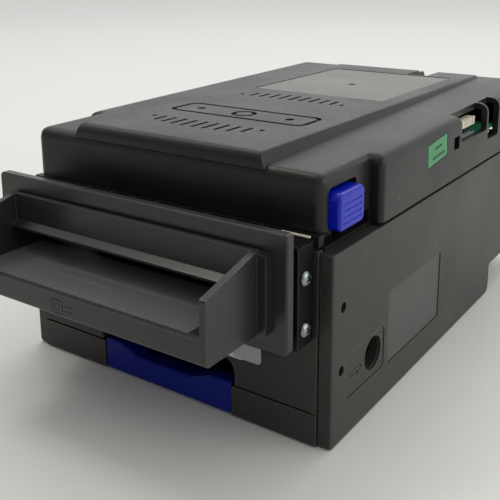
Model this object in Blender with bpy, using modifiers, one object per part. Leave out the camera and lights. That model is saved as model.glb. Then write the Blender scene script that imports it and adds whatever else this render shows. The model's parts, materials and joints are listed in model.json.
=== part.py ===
"""Compact banknote validator: a hinged cover over a roller transport, in a cased chassis with a note tray.

Metres, +Z up, +Y to the rear. The origin is at the middle of the bottom. Distances called "behind the
front" run rearwards from the front edge of the side panels.
"""

import math

import bmesh
import bpy
from mathutils import Matrix, Vector

# Driving sizes
WIDTH = 0.130
HALF = WIDTH / 2
LENGTH = 0.240
NOSE = 0.042
FRONT = NOSE - LENGTH / 2
REAR = LENGTH / 2
GAP = 0.0003

# Side panels
PANEL = 0.0044
PANEL_TOP = 0.0634
PANEL_EDGE = 0.0008
PANEL_REAR_SETBACK = 0.004
FOOT_LENGTH = 0.1445
FOOT_RISE = 0.01305
FOOT_RADIUS = 0.0035
PANEL_SCREWS = ((0.0066, 0.0453), (0.0060, 0.0246))
PANEL_SCREW_RADIUS = 0.00175
LOCK_AT = (0.0279, 0.0210)
LOCK_RADIUS = 0.0059
LOCK_PLATE = ((0.0093, 0.0128), (0.0360, 0.0279))
LOCK_PLATE_DEPTH = 0.0012
SIDE_LABEL = ((0.0390, 0.0119), (0.0838, 0.0382))
SIDE_LABEL_DEPTH = 0.0007
LABEL_FILM = 0.0003

# Chassis
FRAME_WALL = 0.0027
FRAME_CLEARANCE = 0.0003
FRAME_FLOOR = 0.0132
FRAME_FLOOR_THICKNESS = 0.0018
FRAME_TOP = 0.0644
FRAME_FRONT_SETBACK = 0.0025
REAR_PANEL = 0.0022
REAR_SETBACK = 0.0045

# Front panel and handle recess
FRONT_PANEL = 0.0025
FRONT_PANEL_PROUD = 0.0008
FRONT_PANEL_BOTTOM = 0.0114
RECESS_HALF = 0.0295
RECESS_TOP = 0.0205
RECESS_RADIUS = 0.0045
RECESS_DEPTH = 0.0140
RECESS_WALL = 0.0016
NOTE_WINDOW_HALF = HALF - 0.0145
NOTE_WINDOW_BELOW = 0.0020
NOTE_WINDOW_TOP_MARGIN = 0.0060
FRONT_EDGE = 0.0005

# Base slide with its pull handle
SLIDE_BOTTOM = 0.0006
SLIDE_PLATE = 0.0022
SLIDE_RIB_TOP = 0.0100
SLIDE_RIB = 0.0020
SLIDE_RIBS = 7
HANDLE_HALF = 0.0281
HANDLE_HIGH = 0.0122
HANDLE_LOW = 0.0090
HANDLE_DEPTH = 0.0050
HANDLE_FLAT = 0.0200
HANDLE_SCOOP = 0.0120
HANDLE_FOOT_TOP = 0.0062
HANDLE_SCREWS_X = (-0.0200, 0.0200)
HANDLE_SCREW_SETBACK = 0.0090
SCREW_SINK = 0.0012

# Bezel
PLATE_HALF = HALF - 0.0053
PLATE_BACK = -0.0134
PLATE_THICKNESS = 0.0031
PLATE_BOTTOM = 0.0372
PLATE_TOP = 0.0736
COLLAR_HALF = HALF - 0.0108
COLLAR_PROUD = 0.0025
COLLAR_BOTTOM = 0.0427
COLLAR_TOP = 0.0675
TRAY_HALF = HALF - 0.0137
TRAY_WALL = 0.0022
TRAY_BOTTOM = 0.0431
TRAY_FLOOR = 0.0480
TRAY_LIP_TOP = 0.0504
TRAY_SIDE_FRONT_TOP = 0.0621
TRAY_SIDE_BACK_TOP = 0.0684
SLOT_TOP = 0.0566
SLOT_CHAMFER_TOP = 0.0590
SLOT_CHAMFER_PROUD = 0.0022
DUCT_WALL = 0.0016
TAB_MARGIN = 0.0040

# Bezel mount
MOUNT_HALF = HALF - 0.0060
MOUNT_BACK = -0.0012
MOUNT_FRONT = -0.0097
MOUNT_BOTTOM = 0.0358
MOUNT_TOP = 0.0678
MOUNT_WALL = 0.0025
COMB_PITCH = 0.0103
COMB_WIDTH = 0.0016
COMB_RIBS = 9
COMB_RISE = 0.0016
COMB_ROOT = 0.0015
MOUNT_SCREW_Y = -0.0060
MOUNT_SCREW_Z = (0.0417, 0.0576)
SCREW_HEAD_RADIUS = 0.0025
SCREW_HEAD_HEIGHT = 0.0014
SCREW_SHANK_RADIUS = 0.0012
SCREW_LENGTH = 0.0055

# Film tabs below the mount: name, left and right edges from the right side, setback, bottom, colour
TAB_THICKNESS = 0.0008
TABS = (
    ("harness_tab_white", 0.0351, 0.0288, -0.0044, 0.0243, (0.75, 0.75, 0.73)),
    ("harness_tab_clear", 0.0318, 0.0217, -0.0056, 0.0254, (0.42, 0.43, 0.44)),
)

# Cover
COVER_BOTTOM = 0.0645
COVER_WALL = 0.0025
COVER_FRONT = 0.0012
COVER_STEP = 0.0310
COVER_NOSE_HALF = HALF - 0.0046
COVER_NOSE_BOTTOM = 0.0690
SHELF_FRONT_TOP = 0.0864
SHELF_REAR_TOP = 0.0892
COVER_FILLET = 0.0036
STEP_FILLET = 0.0020
NOSE_OVERLAP = 0.0120
PAD_HALF = 0.0380
PAD_SLOPE = 0.0022
PAD_TOP = 0.0903
PAD_REAR = 0.0080
PAD_SETBACK = 0.0001
PAD_FILLET = 0.0034
PAD_ROUND_STEPS = 5
HINGE_INSET = 0.0070
HINGE_Z = COVER_BOTTOM + HINGE_INSET
HINGE_PIN_RADIUS = 0.0016
LUG_WALL = 0.0027
LUG_CLEARANCE = 0.0007
LUG_INNER = HALF - PANEL - FRAME_CLEARANCE - FRAME_WALL - LUG_CLEARANCE - LUG_WALL
# Each ear reaches the pin from the front, out of the way of the cover's rear wall as it swings under
EAR = (
    (-0.0140, FRAME_TOP - HINGE_Z - 0.0030, 0),
    (-0.0055, FRAME_TOP - HINGE_Z - 0.0030, 0),
    (-0.0050, -0.0050, 0.0005),
    (-0.0015, -0.0040, 0),
    (0.0015, -0.0040, 0),
    (0.0039, -0.0015, 0),
    (0.0039, 0.0018, 0),
    (0.0016, 0.0040, 0),
    (-0.0045, 0.0040, 0.002),
    (-0.0140, -0.0040, 0.002),
)
TOP_LABEL_HALF = 0.0310
TOP_LABEL_FRONT = 0.0993
TOP_LABEL_LENGTH = 0.0742
TOP_LABEL_DEPTH = 0.0006
TOP_LABEL_HOLE = (0.0330, 0.00175)
SLOT_WIDTH = 0.0015
SLOT_PITCH = 0.00475
SLOTS = 11
FRONT_SLOTS_END = 0.0282
REAR_SLOTS_START = 0.0810
SLOT_LONG = 0.0098
SLOT_SHORT = 0.0025
VENT_SHIFT = -0.0018
BAY_FRONT = 0.0990
BAY_LENGTH = 0.0290
BAY_SILL = 0.0775
BAY_INNER = HALF - 0.0055
SECOND_BAY_LENGTH = 0.0133
SECOND_BAY_SILL = 0.0730
BAY_RIB = 0.0016
SENSOR_BOARD = 0.0016
HEADER_INSET = 0.0071
HEADER_WIDTH = 0.0036
HEADER_START = 0.0100
HEADER_LENGTH = 0.0140
HEADER_LIFT = 0.0034
HEADER_HEIGHT = 0.0032
HEADER_PINS = 5
HEADER_PITCH = 0.0025
HEADER_PIN = 0.0006
AUX_START = 0.0066
AUX_LENGTH = 0.0062
PORT_LENGTH = 0.0067
PORT_HEIGHT = 0.0049
PORT_BOTTOM = 0.0760
CABLE_NOTCH_X = (0.0080, 0.0185)
CABLE_NOTCH_LENGTH = 0.0230
CABLE_NOTCH_DEPTH = 0.0058
STICKER_AT = (0.0757, 0.0793)
STICKER_LENGTH = 0.0174
STICKER_HEIGHT = 0.0082
STICKER_TILT = math.radians(6.0)
STICKER_POCKET = 0.0003
STICKER_MARGIN = 0.0003

# Release latch
BUTTON_FRONT = 0.0048
BUTTON_LENGTH = 0.0157
BUTTON_BOTTOM = 0.0686
BUTTON_HEIGHT = 0.0118
BUTTON_OUT = HALF - 0.0009
BUTTON_EDGE = 0.0014
BUTTON_FRONT_CLEARANCE = 0.0004
BUTTON_REAR_CLEARANCE = 0.0012
BUTTON_TOP_CLEARANCE = 0.0014
BUTTON_TRAVEL = 0.0025
HOOK_WIDTH = 0.0060
HOOK_INNER = HALF - 0.0135
HOOK_OUTER = HALF - 0.0095
HOOK_BOTTOM = 0.0570
KEEPER_BOTTOM = 0.0560
KEEPER_TOP = 0.0610
SPRING_RADIUS = 0.0024
SPRING_WIRE = 0.0005
SPRING_TURNS = 4
SPRING_INNER = HALF - 0.0180
SPRING_POINTS = 8
SPRING_Z = 0.0768

# Note path and transport
PATH_CLEARANCE = 0.0008
PATH_HALF = HALF - PANEL - FRAME_CLEARANCE - FRAME_WALL - PATH_CLEARANCE
LOWER_GUIDE_TOP = 0.0628
GUIDE = 0.0014
RAMP_START_Z = 0.0495
RAMP_END = 0.0190
UPPER_GUIDE_BOTTOM = 0.0651
UPPER_RAMP_START_Z = 0.0572
UPPER_GUIDE_RIM = 0.0687
UPPER_LIP = 0.0030
UPPER_LIP_PROUD = 0.0018
GUIDE_REAR_CLEARANCE = 0.0100
ENTRY_HALF = HALF - 0.0180
SEAL_X = (HALF - 0.0172, HALF - 0.0072)
SEAL_DEPTH = 0.0010
SEAL_THICKNESS = 0.0004
SHAFT_RADIUS = 0.0025
FRONT_SHAFT = 0.0340
REAR_SHAFT_INSET = 0.0450
PULLEY_RADIUS = 0.0074
PULLEY_WIDTH = 0.0070
PULLEY_X = 0.0220
FLANGE_RADIUS = 0.0084
FLANGE = 0.0010
BELT = 0.0012
BELT_WIDTH = 0.0060
BELT_PROUD = 0.0011
SHAFT_Z = LOWER_GUIDE_TOP + BELT_PROUD - BELT - GAP - PULLEY_RADIUS
BUSH_RADIUS = 0.0046
BUSH_FLANGE = 0.0011
PINCH_RADIUS = 0.0046
PINCH_SHAFT_RADIUS = 0.0016
PINCH_HALF = HALF - 0.0210
PINCH_SADDLE_X = 0.0360
RUNNING = 0.0003

# Gears and motor
MODULE = 0.0008
SMALL_TEETH = 12
IDLER_TEETH = 24
PRESSURE_ANGLE = math.radians(20)
BACKLASH = 0.0001
GEAR_WIDTH = 0.0045
GEAR_X = HALF - 0.0205
MESH_CLEARANCE = 0.00005
IDLER_AXLE_RADIUS = 0.0015
IDLER_ANGLE = math.radians(-110)
PINION_ANGLE = math.radians(-100)
MOTOR_RADIUS = 0.0105
MOTOR_LENGTH = 0.0480
MOTOR_SHAFT_RADIUS = 0.0010

# Main board: components as (x from the board's middle, share of the feet's span, width, depth, height)
BOARD_Z = 0.0175
BOARD_THICKNESS = 0.0016
BOARD_MARGIN = 0.0060
BOARD_FEET_X = (0.0190 - HALF, 0.0490 - HALF)
BOARD_FEET_START = 0.0660
BOARD_FEET_SPAN = 0.0840
COMPONENTS = (
    (0.0010, 0.20, 0.0140, 0.0140, 0.0018),
    (-0.0070, 0.50, 0.0090, 0.0160, 0.0022),
    (0.0080, 0.62, 0.0060, 0.0060, 0.0014),
    (0.0010, 0.92, 0.0240, 0.0060, 0.0070),
)

# Rear panel: its connector and vents
REAR_CONNECTOR_X = (0.0200 - HALF, 0.0500 - HALF)
REAR_CONNECTOR_Z = (0.0220, 0.0320)
REAR_VENTS = 8
REAR_VENT_PITCH = 0.0060
REAR_VENT_WIDTH = 0.0020
REAR_VENT_Z = (0.0300, 0.0480)

ROUND_STEPS = 24
DARK = (0.018, 0.018, 0.016)
GREY = (0.045, 0.047, 0.045)


def behind(distance):
    """The Y this far behind the front edge of the side panels."""
    return FRONT + distance


def new_collection(name):
    collection = bpy.data.collections.new(name)
    bpy.context.scene.collection.children.link(collection)
    return collection


def clear_scene():
    for old in list(bpy.data.objects):
        bpy.data.objects.remove(old, do_unlink=True)


def material(name, colour, roughness, metallic):
    made = bpy.data.materials.new(name)
    made.use_nodes = True
    shader = made.node_tree.nodes["Principled BSDF"]
    shader.inputs["Base Color"].default_value = (*colour, 1)
    shader.inputs["Roughness"].default_value = roughness
    shader.inputs["Metallic"].default_value = metallic
    return made


def add(name, mesh, look=(DARK, 0.5, 0), location=(0, 0, 0), parent=None):
    """Link a mesh as a part, with a material of its own."""
    part = bpy.data.objects.new(name, mesh)
    PARTS.objects.link(part)
    part.location = location
    mesh.materials.append(material(name, *look))
    if parent:
        part.parent = parent
        part.matrix_parent_inverse = Matrix.Translation(parent.location).inverted()
    return part


def helper(part):
    """Turn a part into a cutter or a joined shape, which the model leaves out."""
    PARTS.objects.unlink(part)
    TOOLS.objects.link(part)
    part.hide_render = True
    part.display_type = "WIRE"
    return part


def combine(part, other, operation, solver="EXACT"):
    step = part.modifiers.new(other.name, "BOOLEAN")
    step.object = helper(other)
    step.operation = operation
    step.solver = solver


def cut(part, *others):
    for other in others:
        combine(part, other, "DIFFERENCE")


def join(part, *others):
    for other in others:
        combine(part, other, "UNION")


def pivot(name, location):
    empty = bpy.data.objects.new(name, None)
    empty.location = location
    empty.empty_display_size = 0.01
    PARTS.objects.link(empty)
    return empty


def mesh_from(shape, name):
    mesh = bpy.data.meshes.new(name)
    shape.to_mesh(mesh)
    shape.free()
    return mesh


def block(name, low, high, look=(DARK, 0.5, 0), edge=0.0, steps=1, parent=None):
    """A box between two corners, with all its edges rounded by edge."""
    low, high = Vector(low), Vector(high)
    shape = bmesh.new()
    bmesh.ops.create_cube(shape, size=1.0)
    bmesh.ops.scale(shape, vec=high - low, verts=shape.verts)
    if edge:
        bmesh.ops.bevel(
            shape, geom=shape.edges[:], offset=edge, segments=steps, profile=0.5, affect="EDGES"
        )
    return add(name, mesh_from(shape, name), look, (low + high) / 2, parent)


def rod(name, start, end, radius, look=(DARK, 0.5, 0), steps=ROUND_STEPS, parent=None):
    """A cylinder from one point to another along X, Y or Z."""
    start, end = Vector(start), Vector(end)
    along = end - start
    shape = bmesh.new()
    bmesh.ops.create_cone(
        shape, cap_ends=True, segments=steps, radius1=radius, radius2=radius, depth=along.length
    )
    turn = Vector((0, 0, 1)).rotation_difference(along).to_matrix()
    bmesh.ops.rotate(shape, matrix=turn, verts=shape.verts)
    part = add(name, mesh_from(shape, name), look, (start + end) / 2, parent)
    smooth(part)
    return part


def smooth(part, angle=40):
    part.data.shade_smooth()
    part.data.set_sharp_from_angle(angle=math.radians(angle))


def turned(name, centre, profile, look=(DARK, 0.5, 0), steps=ROUND_STEPS, parent=None):
    """A ring turned about the X axis through centre. The profile is a loop of (radius, x) points."""
    shape = bmesh.new()
    corners = [shape.verts.new((radius, 0, x)) for radius, x in profile]
    for first, second in zip(corners, corners[1:] + corners[:1]):
        shape.edges.new((first, second))
    turn = Matrix.Rotation(math.radians(90), 3, "Y")
    part = add(name, mesh_from(shape, name), look, centre, parent)
    part.rotation_euler = turn.to_euler()
    screw = part.modifiers.new("turn", "SCREW")
    screw.axis = "Z"
    screw.steps = screw.render_steps = steps
    screw.use_merge_vertices = True
    screw.merge_threshold = 0.00001
    screw.use_smooth_shade = False
    return part


def rounded(corners, steps=4):
    """Outline points from (u, v, radius) corners, each radius drawn as an arc."""
    points = []
    count = len(corners)
    for index, (u, v, radius) in enumerate(corners):
        here = Vector((u, v))
        if not radius:
            points.append(here)
            continue
        before = Vector(corners[index - 1][:2]) - here
        after = Vector(corners[(index + 1) % count][:2]) - here
        before.normalize()
        after.normalize()
        half = before.angle(after) / 2
        centre = here + (before + after).normalized() * radius / math.sin(half)
        start = here + before * radius / math.tan(half) - centre
        sweep = start.angle_signed(here + after * radius / math.tan(half) - centre)
        for step in range(steps + 1):
            points.append(centre + Matrix.Rotation(-sweep * step / steps, 2) @ start)
    return points


def rectangle(low, high, radius=0.0):
    (u0, v0), (u1, v1) = low, high
    return [(u0, v0, radius), (u1, v0, radius), (u1, v1, radius), (u0, v1, radius)]


def outline(name, axis, low, high, loops, look=(DARK, 0.5, 0), parent=None, steps=4):
    """A flat outline, with any holes, extruded along an axis from low to high.

    Points are (y, z) for axis X, (x, z) for axis Y and (x, y) for axis Z.
    """
    curve = bpy.data.curves.new(name, "CURVE")
    curve.dimensions = "2D"
    curve.fill_mode = "BOTH"
    curve.extrude = (high - low) / 2
    for loop in loops:
        points = rounded(loop, steps)
        spline = curve.splines.new("POLY")
        spline.points.add(len(points) - 1)
        for target, point in zip(spline.points, points):
            target.co = (*point, 0, 1)
        spline.use_cyclic_u = True
    turns = {
        "X": Matrix(((0, 0, 1), (1, 0, 0), (0, 1, 0))),
        "Y": Matrix(((1, 0, 0), (0, 0, -1), (0, 1, 0))),
        "Z": Matrix.Identity(3),
    }
    drawn = bpy.data.objects.new(name, curve)
    TOOLS.objects.link(drawn)
    mesh = bpy.data.meshes.new_from_object(
        drawn.evaluated_get(bpy.context.evaluated_depsgraph_get())
    )
    bpy.data.objects.remove(drawn)
    shape = bmesh.new()
    shape.from_mesh(mesh)
    bmesh.ops.remove_doubles(shape, verts=shape.verts, dist=1e-6)
    bmesh.ops.rotate(shape, matrix=turns[axis], verts=shape.verts)
    shape.to_mesh(mesh)
    shape.free()
    mesh.materials.clear()
    mesh.name = name
    middle = (low + high) / 2
    location = {"X": (middle, 0, 0), "Y": (0, middle, 0), "Z": (0, 0, middle)}[axis]
    return add(name, mesh, look, location, parent)


def soften(part, width, steps, wanted):
    """Round the edges of a part's mesh whose two ends both pass a test in world space."""
    shape = bmesh.new()
    shape.from_mesh(part.data)
    place = Matrix.Translation(part.location)
    edges = [
        edge
        for edge in shape.edges
        if all(wanted(place @ vert.co) for vert in edge.verts)
        and edge.calc_face_angle(0) > math.radians(30)
    ]
    bmesh.ops.bevel(shape, geom=edges, offset=width, segments=steps, profile=0.5, affect="EDGES")
    shape.to_mesh(part.data)
    shape.free()


def near(value, target):
    return abs(value - target) < 1e-5


# Case


def panel_outline():
    rear = REAR - PANEL_REAR_SETBACK
    foot = behind(FOOT_LENGTH)
    return [
        (FRONT, 0, 0.0015),
        (foot, 0, FOOT_RADIUS),
        (foot, FOOT_RISE, 0.001),
        (rear, FOOT_RISE, 0.001),
        (rear, PANEL_TOP, 0.001),
        (FRONT, PANEL_TOP, 0.001),
    ]


def side_panel(name, side):
    outer = side * HALF
    inner = side * (HALF - PANEL)
    panel = outline(name, "X", min(inner, outer), max(inner, outer), [panel_outline()])
    soften(panel, PANEL_EDGE, 2, lambda point: near(point.x, outer))
    for index, (y, z) in enumerate(PANEL_SCREWS):
        start = (inner - side * GAP, behind(y), z)
        end = (outer + side * GAP, behind(y), z)
        cut(panel, rod(f"{name}_screw_hole_{index}", start, end, PANEL_SCREW_RADIUS, steps=12))
    return panel


def panel_pocket(name, area, depth, radius):
    """A cutter for a shallow pocket in the right panel's outer face."""
    low, high = [(behind(y), z) for y, z in area]
    outer = HALF
    return outline(name, "X", outer - depth, outer + GAP, [rectangle(low, high, radius)])


def panel_insert(name, area, depth, thickness, radius, look):
    """A plate or film that lies in a pocket of the right panel, clear of its walls."""
    low, high = [(behind(y), z) for y, z in area]
    low = (low[0] + GAP, low[1] + GAP)
    high = (high[0] - GAP, high[1] - GAP)
    bottom = HALF - depth + GAP / 3
    return outline(name, "X", bottom, bottom + thickness, [rectangle(low, high, radius)], look)


def case_sides():
    side_panel("left_side_panel", -1)
    right = side_panel("right_side_panel", 1)
    lock_y, lock_z = behind(LOCK_AT[0]), LOCK_AT[1]
    inner = HALF - PANEL
    cut(
        right,
        panel_pocket("lock_pocket", LOCK_PLATE, LOCK_PLATE_DEPTH, 0.002),
        panel_pocket("side_label_pocket", SIDE_LABEL, SIDE_LABEL_DEPTH, 0.001),
        rod(
            "lock_hole",
            (inner - GAP, lock_y, lock_z),
            (HALF + GAP, lock_y, lock_z),
            LOCK_RADIUS,
        ),
    )
    plate = panel_insert(
        "lock_plate", LOCK_PLATE, LOCK_PLATE_DEPTH, 0.0009, 0.0018, (DARK, 0.45, 0)
    )
    hole_end = (HALF + GAP, lock_y, lock_z)
    cut(plate, rod("lock_plate_hole", (inner, lock_y, lock_z), hole_end, LOCK_RADIUS))
    panel_insert(
        "side_label", SIDE_LABEL, SIDE_LABEL_DEPTH, LABEL_FILM, 0.0008, ((0.07, 0.07, 0.065), 0.4, 0)
    )


def lock_cam():
    """The slotted cam behind the right panel, turned a quarter through the hole."""
    inner = HALF - PANEL
    centre = (inner - FRAME_CLEARANCE - FRAME_WALL, behind(LOCK_AT[0]), LOCK_AT[1])
    axle = pivot("lock_axis", centre)
    head = LOCK_RADIUS - 0.0005
    out = FRAME_WALL
    cam = turned(
        "lock_cam",
        centre,
        [
            (0.0015, -0.0040),
            (head * 0.6, -0.0040),
            (head * 0.6, -GAP),
            (head, -GAP),
            (head, out),
            (0.0015, out),
        ][::-1],
        ((0.03, 0.03, 0.03), 0.4, 0.6),
        parent=axle,
    )
    lever = block(
        "lock_lever",
        (centre[0] - 0.0040, centre[1] - 0.0015, centre[2]),
        (centre[0] - 0.0022, centre[1] + 0.0015, centre[2] + 0.0125),
    )
    join(cam, lever)


# Chassis


def frame_half():
    return HALF - PANEL - FRAME_CLEARANCE


def hinge_y():
    return REAR - HINGE_INSET


def front_shaft_y():
    return behind(FRONT_SHAFT)


def rear_shaft_y():
    return REAR - REAR_SHAFT_INSET


def chassis_frame():
    outer = frame_half()
    inner = outer - FRAME_WALL
    floor = FRAME_FLOOR + FRAME_FLOOR_THICKNESS
    section = [
        (-outer, FRAME_FLOOR, 0),
        (outer, FRAME_FLOOR, 0),
        (outer, FRAME_TOP, 0),
        (inner, FRAME_TOP, 0),
        (inner, floor, 0.001),
        (-inner, floor, 0.001),
        (-inner, FRAME_TOP, 0),
        (-outer, FRAME_TOP, 0),
    ]
    front = behind(FRAME_FRONT_SETBACK)
    back = REAR - REAR_SETBACK - REAR_PANEL - GAP
    frame = outline(
        "chassis_frame", "Y", front, back, [section], ((0.02, 0.02, 0.02), 0.55, 0), steps=2
    )
    for side in (-1, 1):
        sign = "right" if side > 0 else "left"
        ear = outline(
            f"ear_{sign}",
            "X",
            min(side * inner, side * outer),
            max(side * inner, side * outer),
            [[(hinge_y() + y, HINGE_Z + z, radius) for y, z, radius in EAR]],
        )
        join(frame, ear)
        out, into = side * (outer + GAP), side * (inner - GAP)
        for name, y, z, radius in (
            ("hinge_bore", hinge_y(), HINGE_Z, HINGE_PIN_RADIUS + RUNNING),
            ("front_bore", front_shaft_y(), SHAFT_Z, BUSH_RADIUS + RUNNING),
            ("rear_bore", rear_shaft_y(), SHAFT_Z, BUSH_RADIUS + RUNNING),
        ):
            cut(frame, rod(f"{name}_{sign}", (into, y, z), (out, y, z), radius, steps=16))
    relief = RECESS_HALF + RECESS_WALL + GAP
    relief_end = behind(RECESS_DEPTH - FRONT_PANEL_PROUD + GAP)
    lock_y, lock_z = behind(LOCK_AT[0]), LOCK_AT[1]
    cut(
        frame,
        block(
            "recess_relief",
            (-relief, front - GAP, FRAME_FLOOR - GAP),
            (relief, relief_end, floor + GAP),
        ),
        rod(
            "lock_frame_hole",
            (inner - GAP, lock_y, lock_z),
            (outer + GAP, lock_y, lock_z),
            LOCK_RADIUS,
            steps=20,
        ),
        block(
            "keeper_window",
            (inner - GAP, latch_y() - HOOK_WIDTH / 2 - 0.001, KEEPER_BOTTOM),
            (outer + GAP, latch_y() + HOOK_WIDTH / 2 + 0.001, KEEPER_TOP),
        ),
    )
    for x in BOARD_FEET_X:
        for y in board_feet_y():
            foot = rod("board_foot", (x, y, floor - 0.0005), (x, y, BOARD_Z - GAP), 0.0025, steps=8)
            join(frame, foot)
    return frame


def board_feet_y():
    return behind(BOARD_FEET_START), behind(BOARD_FEET_START) + BOARD_FEET_SPAN


def latch_y():
    return behind(BUTTON_FRONT) + BUTTON_LENGTH / 2


def rear_panel():
    half = frame_half() - FRAME_WALL - GAP
    back = REAR - REAR_SETBACK
    top = COVER_BOTTOM - 0.0008
    low_x, high_x = REAR_CONNECTOR_X
    low_z, high_z = REAR_CONNECTOR_Z
    panel = outline(
        "rear_panel",
        "Y",
        back - REAR_PANEL,
        back,
        [rectangle((-half, FRAME_FLOOR), (half, top), 0.0005)],
        (DARK, 0.5, 0),
        steps=2,
    )
    cut(
        panel,
        outline(
            "connector_cutout",
            "Y",
            back - REAR_PANEL - GAP,
            back + GAP,
            [rectangle((low_x, low_z), (high_x, high_z), 0.001)],
        ),
        *(
            block(
                "rear_vent",
                (x - REAR_VENT_WIDTH / 2, back - REAR_PANEL - GAP, REAR_VENT_Z[0]),
                (x + REAR_VENT_WIDTH / 2, back + GAP, REAR_VENT_Z[1]),
            )
            for x in [REAR_VENT_PITCH * step for step in range(REAR_VENTS)]
        ),
    )
    block(
        "rear_connector",
        (low_x + 0.001, back - 0.0090, low_z + 0.001),
        (high_x - 0.001, back + 0.0008, high_z - 0.001),
        ((0.55, 0.53, 0.45), 0.5, 0),
        edge=0.0006,
    )


def front_panel():
    """The lower front with the note window above and the finger recess below."""
    half = HALF - PANEL - FRAME_CLEARANCE
    face = behind(-FRONT_PANEL_PROUD)
    back = face + FRONT_PANEL
    shape = [
        (-half, FRONT_PANEL_BOTTOM, 0),
        (-RECESS_HALF, FRONT_PANEL_BOTTOM, 0),
        (-RECESS_HALF, RECESS_TOP, RECESS_RADIUS),
        (RECESS_HALF, RECESS_TOP, RECESS_RADIUS),
        (RECESS_HALF, FRONT_PANEL_BOTTOM, 0),
        (half, FRONT_PANEL_BOTTOM, 0),
        (half, FRAME_TOP - GAP, 0),
        (-half, FRAME_TOP - GAP, 0),
    ]
    window = rectangle(
        (-NOTE_WINDOW_HALF, TRAY_FLOOR - NOTE_WINDOW_BELOW),
        (NOTE_WINDOW_HALF, MOUNT_TOP - NOTE_WINDOW_TOP_MARGIN),
    )
    panel = outline("front_panel", "Y", face, back, [shape, window])
    soften(panel, FRONT_EDGE, 1, lambda point: near(point.y, face) and point.z < MOUNT_BOTTOM)
    inner = RECESS_HALF + RECESS_WALL
    pocket = outline(
        "recess_pocket",
        "Y",
        back - FRONT_PANEL / 2,
        face + RECESS_DEPTH,
        [
            [
                (-inner, FRAME_FLOOR + FRAME_FLOOR_THICKNESS + GAP, 0),
                (inner, FRAME_FLOOR + FRAME_FLOOR_THICKNESS + GAP, 0),
                (inner, RECESS_TOP + RECESS_WALL, RECESS_RADIUS + RECESS_WALL),
                (-inner, RECESS_TOP + RECESS_WALL, RECESS_RADIUS + RECESS_WALL),
            ]
        ],
    )
    hollow = outline(
        "recess_hollow",
        "Y",
        face - GAP,
        face + RECESS_DEPTH - RECESS_WALL,
        [
            [
                (-RECESS_HALF, 0, 0),
                (RECESS_HALF, 0, 0),
                (RECESS_HALF, RECESS_TOP, RECESS_RADIUS),
                (-RECESS_HALF, RECESS_TOP, RECESS_RADIUS),
            ]
        ],
    )
    join(panel, pocket)
    cut(panel, hollow)


# Base slide


def base_slide():
    half = HALF - PANEL - FRAME_CLEARANCE
    face = behind(-FRONT_PANEL_PROUD)
    back = behind(FOOT_LENGTH) - FOOT_RADIUS
    plate_top = SLIDE_BOTTOM + SLIDE_PLATE
    apron_top = FRONT_PANEL_BOTTOM - GAP
    origin = pivot("slide_axis", (0, face, SLIDE_BOTTOM))
    slide = block(
        "base_slide",
        (-half, face + HANDLE_DEPTH + GAP, SLIDE_BOTTOM),
        (half, back, plate_top),
        (DARK, 0.5, 0),
        parent=origin,
    )
    handle_side = HANDLE_HALF + GAP
    for side in (-1, 1):
        apron = block(
            f"apron_{side}",
            (min(side * handle_side, side * half), face, SLIDE_BOTTOM),
            (max(side * handle_side, side * half), face + HANDLE_DEPTH + 2 * GAP, apron_top),
        )
        join(slide, apron)
    pitch = (2 * half - SLIDE_RIB) / (SLIDE_RIBS - 1)
    for index in range(SLIDE_RIBS):
        x = -half + index * pitch
        rib = block(
            f"slide_rib_{index}",
            (x, face + RECESS_DEPTH + GAP, plate_top - GAP),
            (x + SLIDE_RIB, back, SLIDE_RIB_TOP),
        )
        join(slide, rib)
    for x in HANDLE_SCREWS_X:
        y = face + HANDLE_SCREW_SETBACK
        hole = rod(
            "handle_screw_hole", (x, y, 0), (x, y, plate_top + GAP), SCREW_SHANK_RADIUS + GAP, steps=12
        )
        sink = rod(
            "handle_screw_sink",
            (x, y, 0),
            (x, y, SLIDE_BOTTOM + SCREW_SINK),
            SCREW_HEAD_RADIUS + GAP,
            steps=16,
        )
        cut(slide, hole, sink)
    return origin


def pull_handle(origin):
    """The blue pull: a scooped front and a foot that the base slide's plate is screwed to."""
    face = behind(-FRONT_PANEL_PROUD)
    top = [
        (HANDLE_HALF, SLIDE_BOTTOM, 0.0012),
        (HANDLE_HALF, HANDLE_HIGH, 0.0010),
        (HANDLE_FLAT, HANDLE_HIGH, 0.0040),
        (HANDLE_SCOOP, HANDLE_LOW, 0.0060),
    ]
    shape = top + [(-u, v, radius) for u, v, radius in reversed(top)]
    handle = outline(
        "pull_handle", "Y", face, face + HANDLE_DEPTH, [shape], ((0.004, 0.012, 0.14), 0.4, 0),
        parent=origin,
    )
    soften(handle, 0.0006, 1, lambda point: near(point.y, face))
    foot = block(
        "handle_foot",
        (-HANDLE_HALF + 0.002, face + HANDLE_DEPTH - 0.001, SLIDE_BOTTOM + SLIDE_PLATE + GAP),
        (HANDLE_HALF - 0.002, face + RECESS_DEPTH - RECESS_WALL - GAP, HANDLE_FOOT_TOP),
    )
    join(handle, foot)
    steel = ((0.55, 0.57, 0.58), 0.3, 1)
    for index, x in enumerate(HANDLE_SCREWS_X):
        y = face + HANDLE_SCREW_SETBACK
        hole_top = HANDLE_FOOT_TOP - 0.0006
        bore = rod("handle_bore", (x, y, 0), (x, y, hole_top), SCREW_SHANK_RADIUS + GAP, steps=12)
        cut(handle, bore)
        head = rod(
            f"handle_screw_{'lr'[index]}",
            (x, y, SLIDE_BOTTOM),
            (x, y, SLIDE_BOTTOM + SCREW_SINK - GAP),
            SCREW_HEAD_RADIUS,
            steel,
            steps=16,
            parent=origin,
        )
        shank_start = (x, y, SLIDE_BOTTOM + SCREW_SINK / 2)
        shank = rod("shank", shank_start, (x, y, hole_top - GAP), SCREW_SHANK_RADIUS, steps=12)
        join(head, shank)


# Bezel and its mount


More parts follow.
